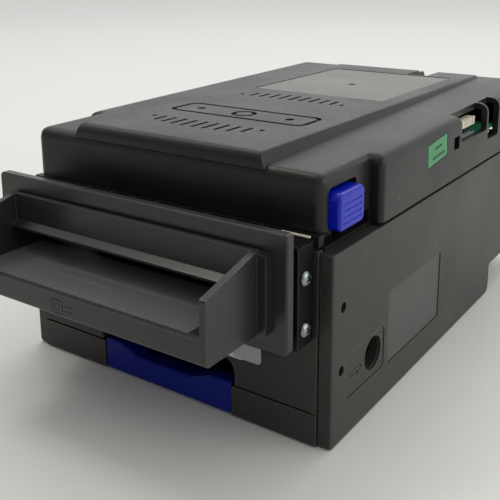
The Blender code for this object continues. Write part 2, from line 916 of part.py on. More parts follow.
def bezel():
    """One moulding: fixing plate, collar, note tray and the duct that runs back into the mount."""
    plate_back = behind(PLATE_BACK)
    plate_face = plate_back - PLATE_THICKNESS
    collar_face = plate_face - COLLAR_PROUD
    tray_front = FRONT - NOSE
    inner = TRAY_HALF - TRAY_WALL
    look = (GREY, 0.42, 0)
    part = outline(
        "bezel",
        "Y",
        plate_face,
        plate_back,
        [rectangle((-PLATE_HALF, PLATE_BOTTOM), (PLATE_HALF, PLATE_TOP), 0.0015)],
        look,
    )
    soften(part, 0.0005, 1, lambda point: near(point.y, plate_face))
    collar = outline(
        "collar",
        "Y",
        collar_face,
        plate_face + PLATE_THICKNESS / 2,
        [rectangle((-COLLAR_HALF, COLLAR_BOTTOM), (COLLAR_HALF, COLLAR_TOP), 0.0015)],
    )
    tray = outline(
        "tray",
        "X",
        -TRAY_HALF,
        TRAY_HALF,
        [
            [
                (tray_front, TRAY_BOTTOM, 0.001),
                (collar_face + COLLAR_PROUD / 2, TRAY_BOTTOM, 0),
                (collar_face + COLLAR_PROUD / 2, TRAY_SIDE_BACK_TOP, 0),
                (tray_front, TRAY_SIDE_FRONT_TOP, 0.001),
            ]
        ],
        steps=2,
    )
    mouth = outline(
        "tray_mouth",
        "X",
        -inner,
        inner,
        [
            [
                (tray_front + TRAY_WALL, TRAY_FLOOR, 0),
                (collar_face - SLOT_CHAMFER_PROUD, TRAY_FLOOR, 0),
                (collar_face - SLOT_CHAMFER_PROUD, SLOT_TOP + 0.0008, 0),
                (collar_face, SLOT_CHAMFER_TOP, 0),
                (collar_face, PLATE_TOP, 0),
                (tray_front - GAP, PLATE_TOP, 0),
                (tray_front - GAP, TRAY_LIP_TOP, 0),
                (tray_front + TRAY_WALL, TRAY_LIP_TOP, 0),
            ]
        ],
    )
    duct_back = behind(MOUNT_BACK) - GAP
    duct = block(
        "duct",
        (-inner - DUCT_WALL, plate_back - PLATE_THICKNESS / 2, TRAY_FLOOR - DUCT_WALL),
        (inner + DUCT_WALL, duct_back, SLOT_TOP + DUCT_WALL),
    )
    slot = block(
        "note_slot",
        (-inner, collar_face - SLOT_CHAMFER_PROUD - GAP, TRAY_FLOOR),
        (inner, duct_back + GAP, SLOT_TOP),
    )
    join(part, collar, tray, duct)
    for side in (-1, 1):
        tab = block(
            f"bezel_tab_{side}",
            (
                min(side * (inner + DUCT_WALL / 2), side * tab_outer()),
                plate_back - PLATE_THICKNESS / 2,
                MOUNT_BOTTOM + MOUNT_WALL + GAP,
            ),
            (
                max(side * (inner + DUCT_WALL / 2), side * tab_outer()),
                duct_back,
                MOUNT_SCREW_Z[1] + TAB_MARGIN,
            ),
        )
        join(part, tab)
    cut(part, mouth, slot)
    for side in (-1, 1):
        for z in MOUNT_SCREW_Z:
            y = behind(MOUNT_SCREW_Y)
            out = side * (tab_outer() + GAP)
            into = side * (screw_end() - GAP)
            bore = rod("bezel_bore", (into, y, z), (out, y, z), SCREW_SHANK_RADIUS + GAP, steps=12)
            cut(part, bore)


def tab_outer():
    return MOUNT_HALF - MOUNT_WALL - GAP


def screw_end():
    return MOUNT_HALF + GAP - SCREW_LENGTH


def bezel_mount():
    front, back = behind(MOUNT_FRONT), behind(MOUNT_BACK)
    shell = rectangle((-MOUNT_HALF, MOUNT_BOTTOM), (MOUNT_HALF, MOUNT_TOP), 0.0010)
    hole = rectangle(
        (-MOUNT_HALF + MOUNT_WALL, MOUNT_BOTTOM + MOUNT_WALL),
        (MOUNT_HALF - MOUNT_WALL, MOUNT_TOP - MOUNT_WALL),
    )
    mount = outline("bezel_mount", "Y", front, back, [shell, hole], ((0.01, 0.01, 0.01), 0.5, 0), steps=2)
    comb_front = behind(PLATE_BACK) + GAP
    first = -COMB_PITCH * (COMB_RIBS - 1) / 2
    for index in range(COMB_RIBS):
        x = first + index * COMB_PITCH
        rib = block(
            f"comb_rib_{index}",
            (x - COMB_WIDTH / 2, comb_front, MOUNT_TOP - COMB_ROOT),
            (x + COMB_WIDTH / 2, back - GAP, MOUNT_TOP + COMB_RISE),
        )
        join(mount, rib)
    steel = ((0.55, 0.57, 0.58), 0.3, 1)
    y = behind(MOUNT_SCREW_Y)
    for side, side_name in ((-1, "left"), (1, "right")):
        for z, height in zip(MOUNT_SCREW_Z, ("lower", "upper")):
            inside = (side * (MOUNT_HALF - MOUNT_WALL - GAP), y, z)
            outside = (side * (MOUNT_HALF + GAP), y, z)
            radius = SCREW_SHANK_RADIUS + GAP
            cut(mount, rod("mount_bore", inside, outside, radius, steps=12))
            head_start = (side * (MOUNT_HALF + GAP / 3), y, z)
            head_end = (side * (MOUNT_HALF + SCREW_HEAD_HEIGHT), y, z)
            screw = rod(
                f"mount_screw_{side_name}_{height}", head_start, head_end, SCREW_HEAD_RADIUS, steel, 16
            )
            shank_end = (side * screw_end(), y, z)
            middle = (side * (MOUNT_HALF + SCREW_HEAD_HEIGHT / 2), y, z)
            join(screw, rod("mount_shank", shank_end, middle, SCREW_SHANK_RADIUS, steps=12))


def harness_tabs():
    """Two film tabs that hang from the mount's underside."""
    top = MOUNT_BOTTOM - GAP
    for name, left, right, y, bottom, colour in TABS:
        x_low, x_high = HALF - left, HALF - right
        outline(
            name,
            "Y",
            behind(y) - TAB_THICKNESS / 2,
            behind(y) + TAB_THICKNESS / 2,
            [
                [
                    (x_low, bottom, 0.0008),
                    (x_high, bottom, 0.0008),
                    (x_high, top, 0),
                    (x_low, top, 0),
                ]
            ],
            (colour, 0.35, 0),
            steps=2,
        )


# Cover


def lower_top(solid, inset=0.0):
    """Bring a solid's flat top down on to the shelf's slope, or as far below it as the wall asks."""
    shape = bmesh.new()
    shape.from_mesh(solid.data)
    bmesh.ops.dissolve_limit(
        shape, angle_limit=math.radians(0.1), verts=shape.verts, edges=shape.edges
    )
    front, rear = behind(COVER_FRONT), REAR
    top = max(vert.co.z for vert in shape.verts)
    for vert in shape.verts:
        if near(vert.co.z, top):
            share = (vert.co.y - front) / (rear - front)
            height = SHELF_FRONT_TOP + (SHELF_REAR_TOP - SHELF_FRONT_TOP) * share
            vert.co.z = height - inset - solid.location.z
    shape.to_mesh(solid.data)
    shape.free()
    return solid


def cover_form(name, half, front, rear, front_fillet):
    """A block under the shelf, rounded along its top and uprights. The front uprights have a fillet of
    their own."""
    plan = rectangle((-half, front), (half, rear), 0)
    solid = lower_top(outline(name, "Z", COVER_BOTTOM, PAD_TOP, [plan]))
    mesh = solid.data
    low = min(vert.co.z for vert in mesh.vertices)
    weights = mesh.attributes.new("bevel_weight_edge", "FLOAT", "EDGE")
    for edge in mesh.edges:
        first, second = (mesh.vertices[index].co for index in edge.vertices)
        if near(first.z, low) and near(second.z, low):
            continue
        upright = abs(first.z - second.z) > COVER_FILLET
        at_front = upright and near(first.y, front)
        weights.data[edge.index].value = front_fillet / COVER_FILLET if at_front else 1
    step = solid.modifiers.new("fillet", "BEVEL")
    step.width = COVER_FILLET
    step.segments = 3
    step.limit_method = "WEIGHT"
    return solid


def cover_hollow():
    """The room inside the cover: its plan, narrow at the nose, set in by its wall."""
    half, nose = HALF - COVER_WALL, COVER_NOSE_HALF - COVER_WALL
    front, step = behind(COVER_FRONT) + COVER_WALL, behind(COVER_STEP) + COVER_WALL
    rear = REAR - COVER_WALL
    right = [(nose, front, 0), (nose, step, 0), (half, step, 0), (half, rear, 0)]
    plan = right + [(-x, y, radius) for x, y, radius in reversed(right)]
    return lower_top(outline("cover_hollow", "Z", COVER_BOTTOM - GAP, PAD_TOP, [plan]), COVER_WALL)


def raised_pad():
    """The raised middle of the top, wider at its foot and set back a little from the front face."""
    front = behind(COVER_FRONT) + PAD_SETBACK
    foot = SHELF_FRONT_TOP - COVER_WALL / 2
    pad = outline(
        "raised_pad",
        "Y",
        front,
        REAR - PAD_REAR,
        [
            [
                (-PAD_HALF - PAD_SLOPE, foot, 0),
                (PAD_HALF + PAD_SLOPE, foot, 0),
                (PAD_HALF, PAD_TOP, 0.001),
                (-PAD_HALF, PAD_TOP, 0.001),
            ]
        ],
        steps=2,
    )
    cut(pad, pad_round(front))
    return pad


def pad_round(front):
    """A cutter that rounds the pad's upper front edge."""
    out, high = front - GAP, PAD_TOP + GAP
    middle_y, middle_z = front + PAD_FILLET, PAD_TOP - PAD_FILLET
    arc = []
    for step in range(PAD_ROUND_STEPS + 1):
        angle = math.pi * (1 - step / PAD_ROUND_STEPS / 2)
        arc.append(
            (middle_y + PAD_FILLET * math.cos(angle), middle_z + PAD_FILLET * math.sin(angle), 0)
        )
    half = PAD_HALF + PAD_SLOPE + GAP
    corners = [(middle_y, high, 0), (out, high, 0), (out, middle_z, 0)]
    return outline("pad_round", "X", -half, half, [arc + corners])


def vent_slots():
    """Two rows of slots whose far ends bulge away from each other, as one cutter each."""
    middle = (SLOTS - 1) / 2
    top, floor = PAD_TOP + GAP, PAD_TOP - COVER_WALL - 0.0035
    for row, (start, direction) in enumerate(((FRONT_SLOTS_END, -1), (REAR_SLOTS_START, 1))):
        for index in range(SLOTS):
            away = (index - middle) / middle
            length = SLOT_SHORT + (SLOT_LONG - SLOT_SHORT) * math.sqrt(max(0, 1 - away * away))
            x = VENT_SHIFT + (index - middle) * SLOT_PITCH
            ends = sorted((behind(start), behind(start) + direction * length))
            yield block(
                f"vent_{row}_{index}",
                (x - SLOT_WIDTH / 2, ends[0], floor),
                (x + SLOT_WIDTH / 2, ends[1], top),
            )


def top_cover(origin):
    step = behind(COVER_STEP)
    cover = cover_form("top_cover", HALF, step, REAR, STEP_FILLET)
    nose = cover_form(
        "cover_nose", COVER_NOSE_HALF, behind(COVER_FRONT), step + NOSE_OVERLAP, COVER_FILLET
    )
    cover.parent = origin
    cover.matrix_parent_inverse = Matrix.Translation(origin.location).inverted()
    half = HALF
    combine(cover, nose, "UNION", "MANIFOLD")
    combine(cover, raised_pad(), "UNION", "MANIFOLD")
    nose_clear = block(
        "under_nose",
        (-half - GAP, behind(COVER_FRONT) - GAP, COVER_BOTTOM - GAP),
        (half + GAP, step - GAP, COVER_NOSE_BOTTOM),
    )
    combine(cover, cover_hollow(), "DIFFERENCE", "MANIFOLD")
    cut(cover, nose_clear, rear_round())
    cut(cover, *vent_slots())
    bay_cuts(cover)
    cable_notch(cover)
    label = outline(
        "top_label_pocket",
        "Z",
        PAD_TOP - TOP_LABEL_DEPTH,
        PAD_TOP + GAP,
        [top_label_area(0)],
        steps=2,
    )
    button_notch = outline(
        "button_notch",
        "X",
        COVER_NOSE_HALF - COVER_WALL - GAP,
        HALF + GAP,
        [
            [
                (behind(BUTTON_FRONT) - BUTTON_FRONT_CLEARANCE, COVER_BOTTOM, 0),
                (behind(BUTTON_FRONT) + BUTTON_LENGTH + BUTTON_REAR_CLEARANCE, COVER_BOTTOM, 0),
                (
                    behind(BUTTON_FRONT) + BUTTON_LENGTH + BUTTON_REAR_CLEARANCE,
                    BUTTON_BOTTOM + BUTTON_HEIGHT + BUTTON_TOP_CLEARANCE,
                    0.0015,
                ),
                (
                    behind(BUTTON_FRONT) - BUTTON_FRONT_CLEARANCE,
                    BUTTON_BOTTOM + BUTTON_HEIGHT + BUTTON_TOP_CLEARANCE,
                    0.0015,
                ),
            ]
        ],
        steps=2,
    )
    cut(cover, label, button_notch)
    spring_rib = block(
        "spring_rib",
        (SPRING_INNER - 0.0020, latch_y() - 0.0070, UPPER_GUIDE_BOTTOM + GUIDE + 4 * GAP),
        (SPRING_INNER, latch_y() + 0.0070, SHELF_FRONT_TOP - COVER_WALL / 2),
    )
    join(cover, spring_rib)
    for side in (-1, 1):
        inner, outer = LUG_INNER, LUG_INNER + LUG_WALL
        lug = outline(
            f"hinge_lug_{side}",
            "X",
            min(side * inner, side * outer),
            max(side * inner, side * outer),
            [
                [
                    (hinge_y() - 0.0042, HINGE_Z - 0.0042, 0.003),
                    (hinge_y() + 0.0028, HINGE_Z - 0.0042, 0.003),
                    (hinge_y() + 0.0028, SHELF_REAR_TOP - COVER_WALL / 2, 0),
                    (hinge_y() - 0.0042, SHELF_REAR_TOP - COVER_WALL / 2, 0),
                ]
            ],
            steps=2,
        )
        join(cover, lug)
        bore_ends = [(side * x, hinge_y(), HINGE_Z) for x in (inner - GAP, outer + GAP)]
        cut(cover, rod(f"lug_bore_{side}", *bore_ends, HINGE_PIN_RADIUS + RUNNING, steps=16))


def rear_round():
    """A cutter that rounds the cover's lower rear edge about the hinge axis, so that it can swing."""
    half = HALF + GAP
    steps = 6
    arc = []
    for step in range(steps + 1):
        angle = -math.pi / 2 * (1 - step / steps)
        arc.append(
            (hinge_y() + HINGE_INSET * math.cos(angle), HINGE_Z + HINGE_INSET * math.sin(angle), 0)
        )
    corner = (REAR + 2 * GAP, COVER_BOTTOM - 2 * GAP, 0)
    ends = [(REAR + 2 * GAP, HINGE_Z, 0)], [(hinge_y(), COVER_BOTTOM - 2 * GAP, 0)]
    return outline("rear_round", "X", -half, half, [arc + ends[0] + [corner] + ends[1]])


def bay_cuts(cover):
    """Connector bays in the right edge, parted by a thin rib, and a small port in front of them."""
    out = HALF + GAP
    top = PAD_TOP + GAP
    first = behind(BAY_FRONT)
    second = first + BAY_LENGTH + BAY_RIB
    bays = (
        ("bay_front", first, BAY_LENGTH, BAY_SILL),
        ("bay_rear", second, SECOND_BAY_LENGTH, SECOND_BAY_SILL),
    )
    for name, start, length, sill in bays:
        cut(
            cover,
            outline(
                name,
                "X",
                BAY_INNER,
                out,
                [[
                    (start, sill, 0.001),
                    (start + length, sill, 0.001),
                    (start + length, top, 0),
                    (start, top, 0),
                ]],
                steps=2,
            ),
        )
    port_y = first - 0.0007 - PORT_LENGTH
    cut(
        cover,
        block(
            "port",
            (HALF - COVER_WALL - GAP, port_y, PORT_BOTTOM),
            (out, port_y + PORT_LENGTH - 0.0012, PORT_BOTTOM + PORT_HEIGHT),
        ),
    )


def cable_notch(cover):
    """A walled channel in the rear of the top."""
    x_low, x_high = CABLE_NOTCH_X
    floor = PAD_TOP - CABLE_NOTCH_DEPTH
    front = REAR - CABLE_NOTCH_LENGTH
    wall = COVER_WALL * 0.8
    body = block(
        "notch_body",
        (x_low - wall, front - wall, floor - wall),
        (x_high + wall, REAR - COVER_WALL / 2, PAD_TOP - COVER_WALL / 2),
    )
    hollow = block(
        "notch_hollow", (x_low, front, floor), (x_high, REAR + GAP, PAD_TOP + GAP)
    )
    join(cover, body)
    cut(cover, hollow)


def top_label_area(inset):
    front = behind(TOP_LABEL_FRONT)
    return rectangle(
        (-TOP_LABEL_HALF + inset, front + inset),
        (TOP_LABEL_HALF - inset, front + TOP_LABEL_LENGTH - inset),
        0.0008,
    )


def cover_trim(origin):
    """The label, boards, connectors and sticker that the cover carries."""
    bottom = PAD_TOP - TOP_LABEL_DEPTH + GAP / 3
    label = outline(
        "top_label",
        "Z",
        bottom,
        bottom + LABEL_FILM,
        [top_label_area(GAP)],
        ((0.32, 0.32, 0.28), 0.45, 0),
        parent=origin,
        steps=2,
    )
    y = behind(TOP_LABEL_FRONT) + TOP_LABEL_HOLE[0]
    hole_ends = ((0, y, bottom - GAP), (0, y, PAD_TOP + GAP))
    cut(label, rod("top_label_hole", *hole_ends, TOP_LABEL_HOLE[1], steps=12))
    bay = behind(BAY_FRONT)
    bay_end = bay + BAY_LENGTH + BAY_RIB + SECOND_BAY_LENGTH
    board_top = BAY_SILL - GAP
    block(
        "sensor_board",
        (HALF - 0.0300, bay - 0.004, board_top - SENSOR_BOARD),
        (HALF - COVER_WALL - GAP, bay_end + 0.002, board_top),
        ((0.02, 0.10, 0.05), 0.4, 0),
        parent=origin,
    )
    connectors(origin, board_top)
    film = HALF - STICKER_POCKET + GAP / 3
    outline(
        "inspection_sticker",
        "X",
        film,
        film + LABEL_FILM / 2,
        [sticker_corners(0)],
        ((0.11, 0.36, 0.19), 0.5, 0),
        parent=origin,
    )


def connectors(origin, board_top):
    """A pin header on the sensor board, raised on its pins, and a small connector under the board."""
    inner, outer = HALF - HEADER_INSET, HALF - HEADER_INSET + HEADER_WIDTH
    start = behind(BAY_FRONT) + HEADER_START
    low = board_top + HEADER_LIFT
    header = block(
        "pin_header",
        (inner, start, low),
        (outer, start + HEADER_LENGTH, low + HEADER_HEIGHT),
        ((0.62, 0.60, 0.50), 0.45, 0),
        parent=origin,
    )
    middle = (inner + outer) / 2
    for index in range(HEADER_PINS):
        pin_y = start + HEADER_LENGTH / 2 + (index - (HEADER_PINS - 1) / 2) * HEADER_PITCH
        pin = block(
            f"pin_{index}",
            (middle - HEADER_PIN / 2, pin_y - HEADER_PIN / 2, board_top + GAP),
            (middle + HEADER_PIN / 2, pin_y + HEADER_PIN / 2, low + GAP),
        )
        join(header, pin)
    second = behind(BAY_FRONT) + BAY_LENGTH + BAY_RIB
    block(
        "aux_connector",
        (inner, second + AUX_START, SECOND_BAY_SILL + GAP),
        (outer, second + AUX_START + AUX_LENGTH, board_top - SENSOR_BOARD - GAP),
        ((0.50, 0.55, 0.48), 0.45, 0),
        parent=origin,
    )


def sticker_corners(margin):
    """The sticker's outline, grown by a margin."""
    along, across = STICKER_LENGTH / 2 + margin, STICKER_HEIGHT / 2 + margin
    centre = Vector((behind(STICKER_AT[0]), STICKER_AT[1]))
    turn = Matrix.Rotation(STICKER_TILT, 2)
    corners = ((-along, -across), (along, -across), (along, across), (-along, across))
    return [(*(centre + turn @ Vector(corner)), 0) for corner in corners]


def sticker_pocket(cover):
    pocket = [sticker_corners(STICKER_MARGIN)]
    cut(cover, outline("sticker_pocket", "X", HALF - STICKER_POCKET, HALF + GAP, pocket))


# Release latch


def release_latch(hinge):
    """The side button, its hook beside the note path and the spring that returns them."""
    y = latch_y()
    inner = COVER_NOSE_HALF - COVER_WALL
    origin = pivot("release_axis", (inner, y, BUTTON_BOTTOM + BUTTON_HEIGHT / 2))
    origin.parent = hinge
    origin.matrix_parent_inverse = Matrix.Translation(hinge.location).inverted()
    blue = ((0.006, 0.03, 0.52), 0.35, 0)
    button = block(
        "release_button",
        (inner + GAP, behind(BUTTON_FRONT), BUTTON_BOTTOM),
        (BUTTON_OUT, behind(BUTTON_FRONT) + BUTTON_LENGTH, BUTTON_BOTTOM + BUTTON_HEIGHT),
        blue,
        edge=BUTTON_EDGE,
        steps=2,
    )
    ride(button, origin)
    hook_top = BUTTON_BOTTOM + 0.0035
    hook = block(
        "latch_hook",
        (HOOK_INNER, y - HOOK_WIDTH / 2, HOOK_BOTTOM),
        (HOOK_OUTER, y + HOOK_WIDTH / 2, hook_top),
        ((0.05, 0.05, 0.05), 0.5, 0),
    )
    ride(hook, origin)
    arm = block(
        "hook_arm",
        (HOOK_INNER, y - HOOK_WIDTH / 2, UPPER_GUIDE_RIM + 2 * GAP),
        (inner, y + HOOK_WIDTH / 2, hook_top),
    )
    nose_end = frame_half() - FRAME_WALL - GAP
    nose = block(
        "hook_nose",
        (HOOK_OUTER - GAP, y - HOOK_WIDTH / 2, HOOK_BOTTOM),
        (nose_end, y + HOOK_WIDTH / 2, HOOK_BOTTOM + 0.0025),
    )
    join(hook, arm, nose)
    release_spring(origin)


def ride(part, origin):
    part.parent = origin
    place = Matrix.Translation(origin.location)
    if origin.parent:
        place = origin.matrix_parent_inverse @ place
        place = Matrix.Translation(origin.parent.location) @ place
    part.matrix_parent_inverse = place.inverted()


def release_spring(origin):
    """A coil along X between the cover's rib and the button's inner face."""
    start = SPRING_INNER + SPRING_WIRE + GAP
    end = COVER_NOSE_HALF - COVER_WALL + GAP - SPRING_WIRE - GAP
    count = SPRING_TURNS * SPRING_POINTS
    curve = bpy.data.curves.new("release_spring", "CURVE")
    curve.dimensions = "3D"
    curve.bevel_depth = SPRING_WIRE
    curve.bevel_resolution = 1
    curve.use_fill_caps = True
    spline = curve.splines.new("POLY")
    spline.points.add(count)
    for index, point in enumerate(spline.points):
        angle = 2 * math.pi * index / SPRING_POINTS
        along = (end - start) * index / count
        point.co = (along, SPRING_RADIUS * math.cos(angle), SPRING_RADIUS * math.sin(angle), 1)
    spring = bpy.data.objects.new("release_spring", curve)
    spring.location = (start, latch_y(), SPRING_Z)
    curve.materials.append(material("release_spring", (0.5, 0.5, 0.5), 0.3, 1))
    PARTS.objects.link(spring)
    ride(spring, origin)


# Note path


def latch_slot(name, low_z, high_z):
    """A cutter that lets the hook pass a guide, with room for its travel."""
    y = latch_y()
    return block(
        name,
        (HOOK_INNER - BUTTON_TRAVEL - 0.001, y - HOOK_WIDTH / 2 - 0.001, low_z),
        (PATH_HALF + GAP, y + HOOK_WIDTH / 2 + 0.001, high_z),
    )


def lower_guide():
    """The lower plate of the note path: a ramp up from the bezel, then flat, slotted for the belts."""
    top, bottom = LOWER_GUIDE_TOP, LOWER_GUIDE_TOP - GUIDE
    front = behind(FRAME_FRONT_SETBACK)
    back = hinge_y() - GUIDE_REAR_CLEARANCE
    guide = outline(
        "lower_guide",
        "X",
        -PATH_HALF,
        PATH_HALF,
        [
            [
                (front, RAMP_START_Z - GUIDE * 1.3, 0),
                (behind(RAMP_END) + GUIDE * 0.5, bottom, 0),
                (back, bottom, 0),
                (back, top, 0),
                (behind(RAMP_END), top, 0),
                (front, RAMP_START_Z, 0),
            ]
        ],
        ((0.035, 0.036, 0.036), 0.35, 0),
    )
    clear = FLANGE_RADIUS + 2 * GAP
    for side in (-1, 1):
        reach = PULLEY_WIDTH / 2 + FLANGE + 2 * GAP
        cut(
            guide,
            block(
                f"belt_slot_{side}",
                (side * PULLEY_X - reach, front_shaft_y() - clear, bottom - GAP),
                (side * PULLEY_X + reach, rear_shaft_y() + clear, top + GAP),
            ),
        )
    cut(guide, latch_slot("lower_latch_slot", RAMP_START_Z - GUIDE * 2, top + GAP))


def upper_guide(hinge):
    """The cover's plate of the note path, with a lip at the front and windows for the pinch rollers."""
    bottom = UPPER_GUIDE_BOTTOM
    front = behind(COVER_FRONT) - UPPER_LIP_PROUD
    back = hinge_y() - GUIDE_REAR_CLEARANCE
    guide = block(
        "upper_guide",
        (-PATH_HALF, front + UPPER_LIP / 2, bottom),
        (PATH_HALF, back, bottom + GUIDE),
        ((0.02, 0.02, 0.02), 0.4, 0),
        parent=hinge,
    )
    lip = block(
        "upper_lip",
        (-frame_half(), front, bottom),
        (frame_half(), front + UPPER_LIP, UPPER_GUIDE_RIM),
    )
    join(guide, lip)
    for side in (-1, 1):
        rim = block(
            f"upper_rim_{side}",
            (min(side * (PATH_HALF - 0.0012), side * PATH_HALF), front + UPPER_LIP / 2, bottom + GAP),
            (max(side * (PATH_HALF - 0.0012), side * PATH_HALF), back, UPPER_GUIDE_RIM),
        )
        join(guide, rim)
        for y in (front_shaft_y(), rear_shaft_y()):
            reach_x = PULLEY_WIDTH / 2 + 0.001
            reach_y = PINCH_RADIUS + 2 * GAP
            cut(
                guide,
                block(
                    "pinch_window",
                    (side * PULLEY_X - reach_x, y - reach_y, bottom - GAP),
                    (side * PULLEY_X + reach_x, y + reach_y, bottom + GUIDE + GAP),
                ),
            )
    cut(guide, latch_slot("upper_latch_slot", bottom - GAP, UPPER_GUIDE_RIM + GAP))
    for y in (front_shaft_y(), rear_shaft_y()):
        for side in (-1, 1):
            saddle = block(
                "pinch_saddle",
                (side * PINCH_SADDLE_X - 0.0012, y - 0.0035, bottom + GUIDE / 2),
                (side * PINCH_SADDLE_X + 0.0012, y + 0.0035, pinch_z() + 0.0035),
            )
            join(guide, saddle)
            bore_ends = [(side * PINCH_SADDLE_X + step, y, pinch_z()) for step in (-0.002, 0.002)]
            cut(guide, rod("pinch_bore", *bore_ends, PINCH_SHAFT_RADIUS + RUNNING, steps=12))


def pinch_z():
    """The pinch rollers just clear the belts' upper run."""
    return SHAFT_Z + PULLEY_RADIUS + GAP + BELT + GAP + PINCH_RADIUS


def seal_strip(hinge):
    """A pale felt strip along the front of the upper guide's lip."""
    face = behind(COVER_FRONT) - UPPER_LIP_PROUD - GAP
    low = MOUNT_TOP + GAP
    block(
        "seal_strip",
        (SEAL_X[0], face - SEAL_DEPTH, low),
        (SEAL_X[1], face, low + SEAL_THICKNESS),
        ((0.62, 0.58, 0.48), 0.7, 0),
        parent=hinge,
    )


def entry_guide():
    """The fixed plate that carries the note from the bezel's slot up to the cover's plate."""
    front = behind(FRAME_FRONT_SETBACK)
    end = behind(RAMP_END) - 0.0030
    low, high = UPPER_RAMP_START_Z, UPPER_GUIDE_BOTTOM - GUIDE - 2 * GAP
    outline(
        "entry_guide",
        "X",
        -ENTRY_HALF,
        ENTRY_HALF,
        [[(front, low, 0), (end, high, 0), (end - 0.001, high + GUIDE, 0), (front, low + GUIDE * 1.3, 0)]],
        ((0.035, 0.036, 0.036), 0.35, 0),
    )


# Rollers, belts and gears


def shaft_set(name, y, z, radius, half, look, parent):
    origin = pivot(f"{name}_axis", (0, y, z))
    if parent:
        origin.parent = parent
        origin.matrix_parent_inverse = Matrix.Translation(parent.location).inverted()
    shaft = rod(f"{name}_shaft", (-half, y, z), (half, y, z), radius, look, steps=16)
    ride(shaft, origin)
    return origin


def pulley(name, x, y, origin):
    """A flanged pulley with a bore that clears the shaft."""
    half = PULLEY_WIDTH / 2
    bore = SHAFT_RADIUS + GAP
    profile = [
        (bore, -half - FLANGE),
        (FLANGE_RADIUS, -half - FLANGE),
        (FLANGE_RADIUS, -half),
        (PULLEY_RADIUS, -half),
        (PULLEY_RADIUS, half),
        (FLANGE_RADIUS, half),
        (FLANGE_RADIUS, half + FLANGE),
        (bore, half + FLANGE),
    ]
    look = ((0.5, 0.5, 0.48), 0.5, 0)
    wheel = turned(name, (x, y, SHAFT_Z), profile[::-1], look, steps=20)
    ride(wheel, origin)


def bush(name, side, y):
    """A flanged bush in the frame wall."""
    inner = frame_half() - FRAME_WALL
    bore = SHAFT_RADIUS + RUNNING / 2
    profile = [
        (bore, inner - GAP - BUSH_FLANGE),
        (BUSH_RADIUS + 0.0012, inner - GAP - BUSH_FLANGE),
        (BUSH_RADIUS + 0.0012, inner - GAP),
        (BUSH_RADIUS, inner - GAP),
        (BUSH_RADIUS, frame_half()),
        (bore, frame_half()),
    ]
    profile = [(radius, side * x) for radius, x in profile]
    if side > 0:
        profile.reverse()
    turned(name, (0, y, SHAFT_Z), profile, ((0.6, 0.45, 0.2), 0.4, 1), steps=16)


def belt(name, x):
    """A flat belt round the front and rear pulleys."""
    half = BELT_WIDTH / 2
    inner = PULLEY_RADIUS + GAP
    loops = []
    for radius in (inner + BELT, inner):
        low, high = front_shaft_y() - radius, rear_shaft_y() + radius
        reach = radius - 0.00001
        loops.append(rectangle((low, SHAFT_Z - radius), (high, SHAFT_Z + radius), reach))
    outline(name, "X", x - half, x + half, loops, ((0.02, 0.02, 0.02), 0.8, 0), steps=5)


def tooth_outline(teeth, phase):
    """Gear outline points in (y, z): each tooth has a root, a base, a pitch and a tip radius."""
    pitch_radius = MODULE * teeth / 2
    base_radius = pitch_radius * math.cos(PRESSURE_ANGLE)
    involute = math.tan(PRESSURE_ANGLE) - PRESSURE_ANGLE
    tip = pitch_radius + 0.95 * MODULE
    root = pitch_radius - 1.25 * MODULE
    points = []
    flank = []
    for radius in (max(base_radius, root), pitch_radius, (pitch_radius + tip) / 2, tip):
        angle = math.acos(min(1, base_radius / radius))
        spread = math.pi / (2 * teeth) - BACKLASH / pitch_radius
        flank.append((radius, spread + involute - (math.tan(angle) - angle)))
    for tooth in range(teeth):
        middle = phase + 2 * math.pi * tooth / teeth
        rising = [(root, -flank[0][1])] + [(radius, -half) for radius, half in flank]
        falling = [(radius, half) for radius, half in reversed(flank)] + [(root, flank[0][1])]
        for radius, offset in rising + falling:
            angle = middle + offset
            points.append((radius * math.cos(angle), radius * math.sin(angle), 0))
    return points


def gear(name, teeth, phase, centre, bore, origin, look):
    points = [(centre[0] + u, centre[1] + v, 0) for u, v, _ in tooth_outline(teeth, phase)]
    steps = 16
    hole = []
    for step in range(steps):
        angle = 2 * math.pi * step / steps
        hole.append((centre[0] + bore * math.cos(angle), centre[1] + bore * math.sin(angle), 0))
    wheel = outline(name, "X", GEAR_X, GEAR_X + GEAR_WIDTH, [points, hole], look)
    ride(wheel, origin)


def mating_phase(teeth, phase, direction, other_teeth):
    """The phase of a second gear that meshes with the first, in this direction from it."""
    return direction + math.pi - (teeth * (phase - direction) + math.pi) / other_teeth


def stepped(start, distance, angle):
    return start[0] + distance * math.cos(angle), start[1] + distance * math.sin(angle)


